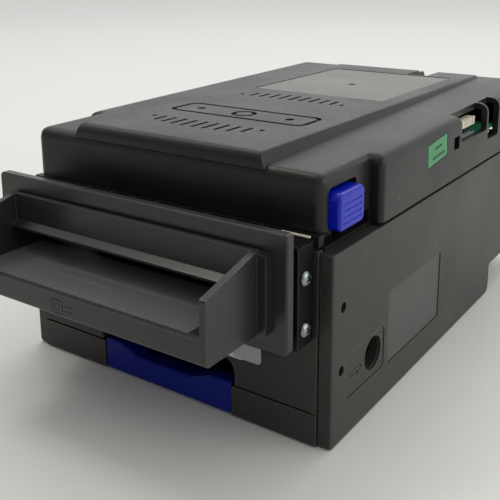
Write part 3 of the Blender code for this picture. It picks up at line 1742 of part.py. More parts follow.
def transport():
    steel = ((0.55, 0.55, 0.55), 0.25, 1)
    nylon = ((0.55, 0.55, 0.5), 0.5, 0)
    origins = {}
    for place, y in (("front", front_shaft_y()), ("rear", rear_shaft_y())):
        end = frame_half() - GAP
        origins[place] = shaft_set(f"{place}_drive", y, SHAFT_Z, SHAFT_RADIUS, end, steel, None)
        for side, sign in (("left", -1), ("right", 1)):
            pulley(f"{place}_pulley_{side}", sign * PULLEY_X, y, origins[place])
            bush(f"{place}_bush_{side}", sign, y)
    for side, sign in (("left", -1), ("right", 1)):
        belt(f"transport_belt_{side}", sign * PULLEY_X)
    reach = MODULE * (SMALL_TEETH + IDLER_TEETH) / 2 + MESH_CLEARANCE
    drive_at = (rear_shaft_y(), SHAFT_Z)
    idler_at = stepped(drive_at, reach, IDLER_ANGLE)
    pinion_at = stepped(idler_at, reach, PINION_ANGLE)
    idler_phase = mating_phase(SMALL_TEETH, 0, IDLER_ANGLE, IDLER_TEETH)
    pinion_phase = mating_phase(IDLER_TEETH, idler_phase, PINION_ANGLE, SMALL_TEETH)
    bore = SHAFT_RADIUS + GAP
    gear("drive_gear", SMALL_TEETH, 0, drive_at, bore, origins["rear"], nylon)
    idler_origin = pivot("idler_axis", (0, *idler_at))
    axle = IDLER_AXLE_RADIUS
    gear("idler_gear", IDLER_TEETH, idler_phase, idler_at, axle + RUNNING, idler_origin, nylon)
    axle_ends = (GEAR_X - 0.0010, *idler_at), (frame_half() - FRAME_WALL - GAP, *idler_at)
    rod("idler_axle", *axle_ends, axle, steel, steps=12)
    pinion_origin = pivot("pinion_axis", (0, *pinion_at))
    pinion_bore = MOTOR_SHAFT_RADIUS + GAP
    gear("motor_pinion", SMALL_TEETH, pinion_phase, pinion_at, pinion_bore, pinion_origin, nylon)
    motor_end = GEAR_X - 0.0012
    motor = rod(
        "feed_motor",
        (motor_end - MOTOR_LENGTH, *pinion_at),
        (motor_end, *pinion_at),
        MOTOR_RADIUS,
        ((0.35, 0.35, 0.35), 0.35, 1),
    )
    shaft_ends = (motor_end - 0.0010, *pinion_at), (GEAR_X + GEAR_WIDTH + 0.0010, *pinion_at)
    join(motor, rod("motor_shaft", *shaft_ends, MOTOR_SHAFT_RADIUS, steps=12))


def pinch_rollers(hinge):
    steel = ((0.55, 0.55, 0.55), 0.25, 1)
    for place, y in (("front", front_shaft_y()), ("rear", rear_shaft_y())):
        name = f"{place}_pinch"
        origin = shaft_set(name, y, pinch_z(), PINCH_SHAFT_RADIUS, PINCH_HALF, steel, hinge)
        half = PULLEY_WIDTH / 2
        for side, sign in (("left", -1), ("right", 1)):
            bore = PINCH_SHAFT_RADIUS + GAP
            profile = [(bore, half), (PINCH_RADIUS, half), (PINCH_RADIUS, -half), (bore, -half)]
            roller = turned(
                f"{name}_roller_{side}",
                (sign * PULLEY_X, y, pinch_z()),
                profile,
                ((0.12, 0.12, 0.12), 0.7, 0),
                steps=16,
            )
            ride(roller, origin)


def hinge_pins():
    steel = ((0.55, 0.55, 0.55), 0.25, 1)
    for side, sign in (("left", -1), ("right", 1)):
        start = (sign * (LUG_INNER - 0.0008), hinge_y(), HINGE_Z)
        end = (sign * (HALF - COVER_WALL - 0.0008), hinge_y(), HINGE_Z)
        rod(f"hinge_pin_{side}", start, end, HINGE_PIN_RADIUS, steel, steps=16)


def main_board():
    """The control board on its feet, with its larger components."""
    start, end = board_feet_y()
    low_x, high_x = BOARD_FEET_X
    top = BOARD_Z + BOARD_THICKNESS
    board = block(
        "main_board",
        (low_x - BOARD_MARGIN, start - BOARD_MARGIN, BOARD_Z),
        (high_x + BOARD_MARGIN, end + BOARD_MARGIN, top),
        ((0.02, 0.12, 0.05), 0.4, 0),
    )
    for offset, share, width, depth, height in COMPONENTS:
        x = (low_x + high_x) / 2 + offset
        middle = start + share * (end - start)
        chip = block(
            "chip",
            (x - width / 2, middle - depth / 2, top - GAP),
            (x + width / 2, middle + depth / 2, top + height),
        )
        join(board, chip)


def main():
    case_sides()
    lock_cam()
    chassis_frame()
    rear_panel()
    front_panel()
    slide_origin = base_slide()
    pull_handle(slide_origin)
    bezel()
    bezel_mount()
    harness_tabs()
    hinge = pivot("cover_axis", (0, hinge_y(), HINGE_Z))
    top_cover(hinge)
    cover_trim(hinge)
    sticker_pocket(bpy.data.objects["top_cover"])
    release_latch(hinge)
    lower_guide()
    upper_guide(hinge)
    entry_guide()
    seal_strip(hinge)
    transport()
    pinch_rollers(hinge)
    hinge_pins()
    main_board()


clear_scene()
PARTS = new_collection("banknote_validator")
TOOLS = new_collection("tools")
main()
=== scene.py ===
"""Looks of the bill validator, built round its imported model. Metres, in the model's own frame."""

import json
import math

import bmesh
import bpy
from mathutils import Euler, Matrix, Vector
from mathutils.bvhtree import BVHTree


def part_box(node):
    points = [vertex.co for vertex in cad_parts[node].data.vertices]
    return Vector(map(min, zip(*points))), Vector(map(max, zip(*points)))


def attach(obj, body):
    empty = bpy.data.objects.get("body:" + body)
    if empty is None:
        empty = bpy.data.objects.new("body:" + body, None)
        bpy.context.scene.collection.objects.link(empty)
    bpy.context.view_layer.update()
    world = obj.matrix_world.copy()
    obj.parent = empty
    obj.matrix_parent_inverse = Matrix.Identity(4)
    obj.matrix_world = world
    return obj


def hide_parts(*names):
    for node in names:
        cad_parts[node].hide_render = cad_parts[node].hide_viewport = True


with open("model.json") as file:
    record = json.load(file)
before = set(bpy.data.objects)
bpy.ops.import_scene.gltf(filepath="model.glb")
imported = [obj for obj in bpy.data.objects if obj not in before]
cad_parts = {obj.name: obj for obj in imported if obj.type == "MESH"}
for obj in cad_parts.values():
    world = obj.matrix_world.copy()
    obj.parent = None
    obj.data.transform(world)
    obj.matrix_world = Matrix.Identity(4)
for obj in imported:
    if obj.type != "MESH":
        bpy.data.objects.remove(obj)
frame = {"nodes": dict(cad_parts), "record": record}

NODES = frame["nodes"]
RECORD = frame["record"]
BODY = {node: body for body, nodes in RECORD["behaviour"]["bodies"].items() for node in nodes}
SLOT = {part["node"]: part["material_slot"] for part in RECORD["subparts"]}
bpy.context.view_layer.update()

# Clean-up of copied meshes: metres and degrees
WELD = 2e-6
FLAT_ANGLE = 0.4
SHARP = 35
OVERSHOOT = 0.001  # how far a cutter reaches out past the surface that it cuts

# Light: the sky is brightest along one direction and falls off smoothly away from it
SKY_TOWARD = Vector((0.30, 0.76, 0.52))
SKY_BRIGHT = 0.96
SKY_DIM = 0.26
SKY_FALL = (-0.9, 0.75)
BACKDROP = (0.62, 0.61, 0.585)
LAMPS = (
    # name, place, size, power, colour
    ("key", (-0.25, 1.1, 1.25), (1.3, 0.9), 5.0, (1.0, 0.985, 0.95)),
    ("side", (1.9, 0.35, 0.75), (1.5, 1.2), 11.0, (1.0, 0.985, 0.95)),
    ("ceiling", (-0.66, -0.10, 1.15), (0.30, 0.30), 2.6, (1.0, 0.95, 0.84)),
)

# Camera
LENS = 57.15
LENS_SHIFT = (-0.032, -0.200)
CAMERA_PLACE = (0.1674, -0.26556, 0.14678)
CAMERA_DOWN = 13.708
CAMERA_ROLL = 0.02
CAMERA_TURN = 33.844
FLOOR_RADIUS = 6.0

# Wear and dust, and the reach of the painted edge highlights
EDGE_WEAR_AND_HIGHLIGHT = 0.00045
DUST_COLOUR = (0.45, 0.45, 0.42)
HAZE_COLOUR = (0.30, 0.30, 0.28)

# Lock plate: an arrow outline and two arcs round the lock
LOCK_HEIGHT = 0.0210
RING_RADII = (0.0067, 0.0071)
RING_STARTS = (100, 280)
RING_SWEEP = 75
ARROW_INDENT = 0.0022
ARROW_LENGTH = 0.0085
ARROW_NECK = 0.0048
ARROW_HALF_SHAFT = 0.0010
ARROW_HALF_HEAD = 0.0026
ARROW_LINE = 0.0005
ARROW_TIP_LINE = 0.0011
MARK_DEPTH = 0.0003

# Emblem on the cover: a frame, a ring and two dots
EMBLEM_Y = -0.0305
EMBLEM_FRAME = (0.0300, 0.0085, 0.0040)
EMBLEM_FRAME_INSIDE = (0.0282, 0.0067, 0.0024)
EMBLEM_RING = (0.0048, 0.0031)
EMBLEM_DOT_X = 0.0200
EMBLEM_DOT = 0.0017
EMBLEM_DEPTH = 0.0007

# Sticker print
PRINT_TILT = 6.0
PRINT_ROWS = ((0.0013, 3), (-0.0019, 5))
PRINT_PITCH = 0.0022
PRINT_INDENT = 0.0006
DASH_HALF = (0.0008, 0.00045)

# Connectors
HEADER_HEIGHT = 0.0032
HEADER_RIBS = 5
HEADER_PINS = 5
PIN_PITCH = 0.0025
PIN_HALF = 0.00028
SOLDER_JOINTS = 8
SOLDER_PITCH = 0.0017
SOLDER_DOME = (
    (0.0, 0.0006), (0.00018, 0.00055), (0.00032, 0.0003), (0.0006, 0.00008), (0.00062, 0.0), (0.0, 0.0)
)
AUX_MOUTHS = 3

# Bezel and its comb
COMB_RIBS = 9
COMB_PITCH = 0.0103
COMB_WIDTH = 0.0016
COMB_MARGIN = 0.0004
ICON = ((-0.0069, 0.04415), (-0.0021, 0.04875))
ICON_LINE = 0.0003
ICON_RING = (0.0013, 0.0010)
ICON_BAR_GAP = 0.0008
ICON_BAR_LENGTH = 0.0036
ICON_BAR_HEIGHTS = (0.0014, 0.0030)
TRAY_SHEET_THICKNESS = 0.00004
SHINE_THICKNESS = 0.00007

# Pan heads
HEAD_HEIGHT = 0.0014
SHANK_RADIUS = 0.0012
RECESS_SINK = 0.0002

# Button
BUTTON_SIDE_ROUND = 0.0021
BUTTON_RIM_ROUND = 0.0011
GROOVES = 4
GROOVE_START = 0.0022
GROOVE_PITCH = 0.00195
GROOVE_WIDTH = 0.00055
GROOVE_DEPTH = 0.00022


# Materials


class Look:
    """A Principled material whose colour, roughness and bump are built up from node layers."""

    def __init__(self, name, roughness, metallic=0.0, **fixed):
        self.material = bpy.data.materials.new(name)
        self.material.use_nodes = True
        self.tree = self.material.node_tree
        self.shader = self.tree.nodes["Principled BSDF"]
        self.shader.inputs["Metallic"].default_value = metallic
        self.roughness = roughness
        for socket, value in fixed.items():
            self.shader.inputs[socket.replace("_", " ")].default_value = value
        self.place = self.tree.nodes.new("ShaderNodeTexCoord").outputs["Object"]

    def node(self, kind, inputs=(), **settings):
        made = self.tree.nodes.new("ShaderNode" + kind)
        for key, value in settings.items():
            setattr(made, key, value)
        for key, value in dict(inputs).items():
            if isinstance(value, bpy.types.NodeSocket):
                self.tree.links.new(value, made.inputs[key])
            else:
                made.inputs[key].default_value = value
        return made

    def noise(self, size, detail=2.0, stretch=(1, 1, 1)):
        """Noise from 0 to 1 whose features are about this many metres across."""
        place = self.place
        if stretch != (1, 1, 1):
            place = self.node("Mapping", {"Vector": place, "Scale": stretch}).outputs[0]
        return self.node(
            "TexNoise", {"Vector": place, "Scale": 1 / size, "Detail": detail}
        ).outputs["Fac"]

    def maths(self, operation, first, second=0.0, clamp=False):
        return self.node("Math", {0: first, 1: second}, operation=operation, use_clamp=clamp).outputs[0]

    def span(self, value, low, high, to_low=0.0, to_high=1.0):
        """Map a value's range on to another, and hold it inside."""
        sockets = {"Value": value, 1: low, 2: high, 3: to_low, 4: to_high}
        return self.node("MapRange", sockets).outputs[0]

    def mix(self, factor, first, second, blend="MIX"):
        made = self.node("Mix", data_type="RGBA", blend_type=blend)
        for index, value in ((0, factor), (6, first), (7, second)):
            if isinstance(value, bpy.types.NodeSocket):
                self.tree.links.new(value, made.inputs[index])
            else:
                made.inputs[index].default_value = value if index == 0 else (*value, 1)
        return made.outputs[2]

    def edges(self, radius):
        """1 on edges and corners, 0 on flat areas."""
        rounded = self.node("Bevel", {"Radius": radius}, samples=4).outputs[0]
        flat = self.node("NewGeometry").outputs["Normal"]
        across = self.node("VectorMath", {0: rounded, 1: flat}, operation="DOT_PRODUCT").outputs["Value"]
        return self.span(across, 0.995, 0.80)

    def specks(self, spacing, size, share):
        """Sparse specks: 1 inside one, 0 elsewhere."""
        cells = self.node("TexVoronoi", {"Vector": self.place, "Scale": 1 / spacing})
        near = self.span(cells.outputs["Distance"], size / spacing, size / spacing * 0.4)
        tint = self.node("SeparateColor", {0: cells.outputs["Color"]}).outputs[0]
        return self.maths("MULTIPLY", near, self.maths("LESS_THAN", tint, share))

    def finish(self, colour, roughness, height=None, depth=0.00002, strength=0.5):
        self.tree.links.new(colour, self.shader.inputs["Base Color"])
        self.tree.links.new(roughness, self.shader.inputs["Roughness"])
        if height is not None:
            bump = self.node("Bump", {"Height": height, "Distance": depth, "Strength": strength})
            self.tree.links.new(bump.outputs[0], self.shader.inputs["Normal"])
        return self.material


def shade(colour, factor):
    return tuple(value * factor for value in colour)


def plastic(
    name, colour, roughness, grain=0.0005, depth=0.00003, mottle=0.08, edge=1.35, dust=0.0, **fixed
):
    """Moulded plastic: a fine grain, broad uneven sheen, edges lightened partly by wear and partly by a
    painted highlight, and dust.
    """
    look = Look(name, roughness, **fixed)
    broad = look.noise(0.03, 3.0)
    fine = look.noise(grain, 2.0)
    worn_and_highlit_edges = look.edges(EDGE_WEAR_AND_HIGHLIGHT)
    base = look.mix(broad, shade(colour, 1 - mottle), shade(colour, 1 + mottle))
    base = look.mix(look.span(fine, 0.35, 0.65, 0.0, 0.6), base, shade(colour, 0.75))
    # Edges and corners lighter by the factor edge: partly wear, partly a painted highlight
    base = look.mix(look.maths("MULTIPLY", worn_and_highlit_edges, 0.8), base, shade(colour, edge))
    if dust:
        specks = look.maths("MULTIPLY", look.specks(0.007, 0.00030, 0.30), dust)
        base = look.mix(specks, base, DUST_COLOUR)
        haze = look.span(look.noise(0.004, 4.0), 0.55, 0.8, 0.0, 0.02 * dust)
        base = look.mix(haze, base, HAZE_COLOUR)
    rough = look.span(broad, 0.3, 0.7, roughness - 0.04, roughness + 0.05)
    rough = look.maths("ADD", rough, look.span(fine, 0.3, 0.7, -0.06, 0.06))
    rough = look.maths("SUBTRACT", rough, look.maths("MULTIPLY", worn_and_highlit_edges, 0.10), clamp=True)
    return look.finish(base, rough, fine, depth)


def metal(name, colour, roughness, stretch=(1, 1, 1), size=0.0006, spots=0.1):
    """Bare or plated metal with tool marks drawn out along one direction."""
    look = Look(name, roughness, 1.0)
    marks = look.noise(size, 3.0, stretch)
    broad = look.noise(0.006, 3.0)
    base = look.mix(broad, shade(colour, 1 - spots), shade(colour, 1 + spots))
    base = look.mix(look.span(marks, 0.4, 0.7, 0.0, 0.2), base, shade(colour, 0.75))
    rough = look.span(marks, 0.3, 0.7, roughness - 0.05, roughness + 0.07)
    return look.finish(base, rough, marks, 0.000002, 0.2)


def film(name, colour, roughness, **fixed):
    """A printed film or paper label."""
    look = Look(name, roughness, **fixed)
    fibre = look.noise(0.0009, 4.0, (1, 2.5, 1))
    broad = look.noise(0.02, 2.0)
    base = look.mix(broad, shade(colour, 0.95), shade(colour, 1.05))
    base = look.mix(look.span(fibre, 0.45, 0.7, 0.0, 0.3), base, shade(colour, 0.88))
    rough = look.span(broad, 0.3, 0.7, roughness - 0.04, roughness + 0.05)
    return look.finish(base, rough, fibre, 0.000008, 0.3)


def felt(name, colour):
    look = Look(name, 0.95, Sheen_Weight=0.4)
    fibre = look.noise(0.00025, 5.0, (1, 0.4, 1))
    base = look.mix(fibre, shade(colour, 0.7), shade(colour, 1.15))
    return look.finish(base, look.span(fibre, 0.3, 0.7, 0.85, 1.0), fibre, 0.0001, 0.8)


def board(name, colour):
    """Solder-masked laminate with copper tracks under the mask and tinned pads."""
    look = Look(name, 0.35)
    cells = look.node(
        "TexVoronoi", {"Vector": look.place, "Scale": 420, "Randomness": 0.35}, distance="MANHATTAN"
    )
    track = look.span(cells.outputs["Distance"], 0.34, 0.40)
    pads = look.specks(0.0024, 0.0005, 0.45)
    base = look.mix(track, colour, shade(colour, 1.9))
    base = look.mix(pads, base, (0.62, 0.64, 0.62))
    rough = look.span(track, 0.0, 1.0, 0.28, 0.36)
    return look.finish(base, rough, track, 0.00003, 0.5)


def rubber(name, colour):
    look = Look(name, 0.8)
    fine = look.noise(0.0003, 3.0)
    worn_and_highlit_edges = look.edges(0.0005)
    base = look.mix(fine, shade(colour, 0.8), shade(colour, 1.3))
    # Edges lighter: partly wear, partly a painted highlight
    base = look.mix(look.maths("MULTIPLY", worn_and_highlit_edges, 0.5), base, shade(colour, 2.2))
    return look.finish(base, look.span(fine, 0.3, 0.7, 0.72, 0.9), fine, 0.00005, 0.6)


# In the plastics, edge is how much lighter edges and corners are painted: slightly for wear, and as a
# painted highlight where it is large
LOOKS = {
    # edge=5.0: a painted highlight along the side panels' edges
    "black_moulding": plastic(
        "black_moulding", (0.026, 0.026, 0.023), 0.42, edge=5.0, dust=0.7, Specular_IOR_Level=0.35
    ),
    # edge=2.4: edges lighter, partly wear and partly a painted highlight
    "cover_moulding": plastic(
        "cover_moulding", (0.011, 0.011, 0.0095), 0.38, edge=2.4, dust=0.8, Specular_IOR_Level=0.32
    ),
    # edge=4.0: a painted highlight along the bezel's edges and lips
    "bezel_moulding": plastic(
        "bezel_moulding", (0.017, 0.018, 0.017), 0.30, 0.0003, 0.00001, edge=4.0, dust=0.5,
        Specular_IOR_Level=0.45,
    ),
    # Tray floor sheets: painted reflection near the lip, painted sheen strips, and painted light in the
    # tray's shade
    "tray_painted_reflection": film("tray_painted_reflection", (0.105, 0.105, 0.104), 0.42),
    "tray_painted_sheen": film("tray_painted_sheen", (0.130, 0.130, 0.125), 0.35),
    "tray_painted_light": plastic("tray_painted_light", (0.150, 0.155, 0.155), 0.30, 0.0003, 0.000002),
    # A painted highlight for the tops of the comb ribs
    "rib_highlight": plastic("rib_highlight", (0.045, 0.045, 0.043), 0.40, 0.0003, 0.00001),
    # edge=25.0: a painted highlight on the edges of the comb ribs
    "mount_moulding": plastic(
        "mount_moulding", (0.004, 0.004, 0.004), 0.55, edge=25.0, dust=0.2, Specular_IOR_Level=0.12
    ),
    # Near-black with almost no gloss: painted shade, so parts in this slot read as dark holes
    "dark_hole": plastic("dark_hole", (0.003, 0.003, 0.003), 0.7, Specular_IOR_Level=0.10),
    "frame_moulding": plastic("frame_moulding", (0.006, 0.006, 0.006), 0.5, Specular_IOR_Level=0.25),
    "guide_plastic": plastic(
        "guide_plastic", (0.007, 0.007, 0.007), 0.40, depth=0.000004, Specular_IOR_Level=0.2
    ),
    "handle_blue": plastic(
        "handle_blue", (0.001, 0.010, 0.190), 0.36, 0.0003, 0.00001, 0.06, 1.5, Specular_IOR_Level=0.20
    ),
    "button_blue": plastic(
        "button_blue", (0.0005, 0.010, 0.40), 0.26, depth=0.000001, mottle=0.05, edge=1.5,
        Specular_IOR_Level=0.35,
    ),
    "label_grey": film("label_grey", (0.150, 0.148, 0.130), 0.42, Specular_IOR_Level=0.35),
    "label_dark": film("label_dark", (0.042, 0.042, 0.039), 0.40),
    "sticker_green": film("sticker_green", (0.060, 0.255, 0.110), 0.5, Specular_IOR_Level=0.3),
    "ink": film("ink", (0.012, 0.030, 0.018), 0.6, Specular_IOR_Level=0.2),
    "tab_white": film("tab_white", (0.60, 0.60, 0.57), 0.45, Subsurface_Weight=0.2, Subsurface_Scale=0.002),
    "tab_clear": film("tab_clear", (0.33, 0.34, 0.36), 0.3),
    "felt": felt("felt", (0.62, 0.56, 0.44)),
    "connector_cream": plastic(
        "connector_cream", (0.62, 0.58, 0.46), 0.42, depth=0.00001, mottle=0.04, edge=1.1
    ),
    "board_green": board("board_green", (0.010, 0.085, 0.040)),
    "zinc_steel": metal("zinc_steel", (0.26, 0.29, 0.29), 0.22, size=0.002, spots=0.05),
    "bright_steel": metal("bright_steel", (0.60, 0.60, 0.60), 0.22, (0.15, 1, 1), 0.0003),
    "bush_bronze": metal("bush_bronze", (0.55, 0.40, 0.20), 0.42, size=0.0003, spots=0.2),
    "gear_nylon": plastic(
        "gear_nylon", (0.56, 0.55, 0.49), 0.45, depth=0.00001, mottle=0.04, edge=1.05,
        Subsurface_Weight=0.1, Subsurface_Scale=0.001,
    ),
    "roller_rubber": rubber("roller_rubber", (0.020, 0.020, 0.020)),
}


# Mesh helpers


def new_object(name, shape):
    """A new object from a bmesh, which is freed."""
    mesh = bpy.data.meshes.new(name)
    shape.to_mesh(mesh)
    shape.free()
    made = bpy.data.objects.new(name, mesh)
    bpy.context.scene.collection.objects.link(made)
    return made


def cad_shape(node, whole=True):
    """A node's CAD mesh as a bmesh, with its corners welded and, if asked, its flat faces made whole."""
    shape = bmesh.new()
    shape.from_mesh(NODES[node].data)
    bmesh.ops.remove_doubles(shape, verts=shape.verts, dist=WELD)
    if whole:
        bmesh.ops.dissolve_limit(
            shape, angle_limit=math.radians(FLAT_ANGLE), verts=shape.verts[:], edges=shape.edges[:]
        )
    return shape


def settled(target):
    """Apply an object's modifiers to its mesh."""
    bpy.context.view_layer.update()
    graph = bpy.context.evaluated_depsgraph_get()
    mesh = bpy.data.meshes.new_from_object(target.evaluated_get(graph))
    target.modifiers.clear()
    target.data = mesh
    return target


def combine(target, cutters):
    """Cut other objects out of one, and remove them."""
    for other in cutters:
        step = target.modifiers.new(other.name, "BOOLEAN")
        step.object = other
        step.operation = "DIFFERENCE"
    settled(target)
    for other in cutters:
        bpy.data.objects.remove(other)
    return target


def bevel_edges(shape, width, segments, wanted=None, sharp=SHARP):
    """Round the edges that are sharp enough and that a test accepts."""
    edges = [
        edge
        for edge in shape.edges
        if len(edge.link_faces) == 2
        and edge.calc_face_angle(0) > math.radians(sharp)
        and (wanted is None or wanted(edge))
    ]
    bmesh.ops.bevel(
        shape, geom=edges, offset=width, segments=segments, profile=0.5, affect="EDGES", clamp_overlap=True
    )


def smooth(target):
    """Smooth shading that keeps wide faces flat."""
    if "custom_normal" in target.data.attributes:
        target.data.attributes.remove(target.data.attributes["custom_normal"])
    target.data.shade_smooth()
    target.data.set_sharp_from_angle(angle=math.radians(SHARP))
    step = target.modifiers.new("normals", "WEIGHTED_NORMAL")
    step.weight = 60
    step.keep_sharp = True
    return target


def block(name, low, high, edge=0.0, segments=3):
    low, high = Vector(low), Vector(high)
    shape = bmesh.new()
    bmesh.ops.create_cube(shape, size=1.0)
    bmesh.ops.scale(shape, vec=high - low, verts=shape.verts)
    bmesh.ops.translate(shape, vec=(low + high) / 2, verts=shape.verts)
    if edge:
        bmesh.ops.bevel(
            shape, geom=shape.edges[:], offset=edge, segments=segments, profile=0.5, affect="EDGES"
        )
    return new_object(name, shape)


def arc(centre, radius, start, end, steps):
    """Points along an arc, angles in degrees."""
    return [
        (
            centre[0] + radius * math.cos(math.radians(start + (end - start) * i / steps)),
            centre[1] + radius * math.sin(math.radians(start + (end - start) * i / steps)),
        )
        for i in range(steps + 1)
    ]


def rounded_rectangle(low, high, radius, steps=6):
    (u0, v0), (u1, v1) = low, high
    points = []
    for centre, start in (
        ((u1 - radius, v1 - radius), 0),
        ((u0 + radius, v1 - radius), 90),
        ((u0 + radius, v0 + radius), 180),
        ((u1 - radius, v0 + radius), 270),
    ):
        points += arc(centre, radius, start, start + 90, steps)
    return points


def circle(centre, radius, steps=32):
    return arc(centre, radius, 0, 360, steps)[:-1]


def flat(name, axis, low, high, loops):
    """Filled outlines, with holes where loops lie inside one another, extruded along an axis."""
    curve = bpy.data.curves.new(name, "CURVE")
    curve.dimensions = "2D"
    curve.fill_mode = "BOTH"
    curve.extrude = (high - low) / 2
    for loop in loops:
        spline = curve.splines.new("POLY")
        spline.points.add(len(loop) - 1)
        for target, (u, v) in zip(spline.points, loop):
            target.co = (u, v, 0, 1)
        spline.use_cyclic_u = True
    drawn = bpy.data.objects.new(name, curve)
    bpy.context.scene.collection.objects.link(drawn)
    bpy.context.view_layer.update()
    mesh = bpy.data.meshes.new_from_object(
        drawn.evaluated_get(bpy.context.evaluated_depsgraph_get())
    )
    bpy.data.objects.remove(drawn)
    shape = bmesh.new()
    shape.from_mesh(mesh)
    bmesh.ops.remove_doubles(shape, verts=shape.verts, dist=1e-6)
    turns = {
        "X": Matrix(((0, 0, 1), (1, 0, 0), (0, 1, 0))),
        "Y": Matrix(((1, 0, 0), (0, 0, -1), (0, 1, 0))),
        "Z": Matrix.Identity(3),
    }
    middle = (low + high) / 2
    bmesh.ops.rotate(shape, matrix=turns[axis], verts=shape.verts)
    bmesh.ops.translate(
        shape,
        vec={"X": (middle, 0, 0), "Y": (0, middle, 0), "Z": (0, 0, middle)}[axis],
        verts=shape.verts,
    )
    bmesh.ops.recalc_face_normals(shape, faces=shape.faces)
    return new_object(name, shape)


def lathe(name, profile, place, steps=40):
    """A profile of (radius, height) points turned about Z, then put in place by a matrix."""
    shape = bmesh.new()
    corners = [shape.verts.new((radius, 0, height)) for radius, height in profile]
    for first, second in zip(corners, corners[1:]):
        shape.edges.new((first, second))
    bmesh.ops.spin(
        shape,
        geom=shape.verts[:] + shape.edges[:],
        cent=(0, 0, 0),
        axis=(0, 0, 1),
        angle=2 * math.pi,
        steps=steps,
    )
    bmesh.ops.remove_doubles(shape, verts=shape.verts, dist=1e-6)
    bmesh.ops.transform(shape, matrix=place, verts=shape.verts)
    bmesh.ops.recalc_face_normals(shape, faces=shape.faces)
    return new_object(name, shape)


def top_at(node, x, y):
    """Height of the uppermost surface of a CAD node at a place."""
    tree = BVHTree.FromPolygons(
        [vert.co for vert in NODES[node].data.vertices],
        [face.vertices for face in NODES[node].data.polygons],
    )
    return tree.ray_cast(Vector((x, y, 1.0)), Vector((0, 0, -1)))[0].z


def wear(piece, node, look=None, replaces=True):
    """Make a piece ride with a node, in its slot's material or a variant of it."""
    piece.data.materials.clear()
    piece.data.materials.append(LOOKS[look or SLOT[node]])
    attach(piece, BODY[node])
    if replaces:
        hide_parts(node)
    return piece


def refined(node, width, segments=3, wanted=None, cutters=(), sharp=SHARP, look=None):
    """A node's shape with rounded edges and finer cuts, standing for the node."""
    shape = cad_shape(node, whole=width > 0)
    if width:
        bevel_edges(shape, width, segments, wanted, sharp)
    piece = new_object(node + "_finished", shape)
    if cutters:
        combine(piece, cutters)
    return wear(smooth(piece), node, look)


def dress(node, width=0.0, segments=2):
    """Keep a CAD node, with its material, smooth round faces and slightly broken edges."""
    kept = NODES[node]
    mesh = kept.data
    if "custom_normal" in mesh.attributes:
        mesh.attributes.remove(mesh.attributes["custom_normal"])
    mesh.shade_smooth()
    mesh.materials.clear()
    mesh.materials.append(LOOKS[SLOT[node]])
    weld = kept.modifiers.new("weld", "WELD")
    weld.merge_threshold = WELD
    if width:
        whole = kept.modifiers.new("whole", "DECIMATE")
        whole.decimate_type = "DISSOLVE"
        whole.angle_limit = math.radians(FLAT_ANGLE)
        step = kept.modifiers.new("edges", "BEVEL")
        step.width = width
        step.segments = segments
        step.limit_method = "ANGLE"
        step.angle_limit = math.radians(40)
    split = kept.modifiers.new("sharp", "EDGE_SPLIT")
    split.split_angle = math.radians(SHARP)
    normals = kept.modifiers.new("normals", "WEIGHTED_NORMAL")
    normals.weight = 60


# Camera, floor and light


def stage():
    """The camera, the floor and the lamps."""
    camera = bpy.data.cameras.new("camera")
    camera.lens = LENS
    camera.shift_x, camera.shift_y = LENS_SHIFT
    seen = bpy.data.objects.new("camera", camera)
    seen.location = CAMERA_PLACE
    seen.rotation_euler = Euler(
        (math.radians(90 - CAMERA_DOWN), math.radians(CAMERA_ROLL), math.radians(CAMERA_TURN)), "XYZ"
    )
    bpy.context.scene.collection.objects.link(seen)
    bpy.context.scene.camera = seen

    shape = bmesh.new()
    bmesh.ops.create_circle(shape, cap_ends=True, segments=64, radius=FLOOR_RADIUS)
    floor = new_object("floor", shape)
    look = Look("floor", 0.5)
    broad = look.noise(0.25, 3.0)
    base = look.mix(broad, (0.70, 0.69, 0.655), (0.735, 0.725, 0.69))
    floor.data.materials.append(look.finish(base, look.span(broad, 0.3, 0.7, 0.42, 0.5)))

    studio_sky()
    for name, place, size, power, colour in LAMPS:
        lamp = bpy.data.lights.new(name, "AREA")
        lamp.shape = "RECTANGLE"
        lamp.size, lamp.size_y = size
        lamp.energy = power
        lamp.color = colour
        light = bpy.data.objects.new(name, lamp)
        light.location = place
        aim = Vector((0, 0, 0.05)) - Vector(place)
        light.rotation_euler = aim.to_track_quat("-Z", "Y").to_euler()
        light.visible_camera = False
        bpy.context.scene.collection.objects.link(light)
    bpy.context.scene.view_settings.view_transform = "Standard"


def studio_sky():
    """Soft light from all round, brightest behind and above, with a plain pale backdrop."""
    world = bpy.data.worlds.new("studio")
    bpy.context.scene.world = world
    world.use_nodes = True
    tree = world.node_tree

    def node(kind, **settings):
        made = tree.nodes.new("ShaderNode" + kind)
        for key, value in settings.items():
            setattr(made, key, value)
        return made

    lit = node("VectorMath", operation="DOT_PRODUCT")
    tree.links.new(node("TexCoord").outputs["Generated"], lit.inputs[0])
    lit.inputs[1].default_value = SKY_TOWARD.normalized()
    strength = node("MapRange", interpolation_type="SMOOTHSTEP")
    tree.links.new(lit.outputs["Value"], strength.inputs["Value"])
    for index, value in enumerate((*SKY_FALL, SKY_DIM, SKY_BRIGHT), start=1):
        strength.inputs[index].default_value = value
    light = tree.nodes["Background"]
    light.inputs["Color"].default_value = (0.98, 0.98, 1.0, 1)
    tree.links.new(strength.outputs[0], light.inputs["Strength"])
    backdrop = node("Background")
    backdrop.inputs["Color"].default_value = (*BACKDROP, 1)
    seen = node("MixShader")
    tree.links.new(node("LightPath").outputs["Is Camera Ray"], seen.inputs[0])
    tree.links.new(light.outputs[0], seen.inputs[1])
    tree.links.new(backdrop.outputs[0], seen.inputs[2])
    tree.links.new(seen.outputs[0], tree.nodes["World Output"].inputs["Surface"])


# The case


def long_edge(length):
    return lambda edge: edge.calc_length() > length


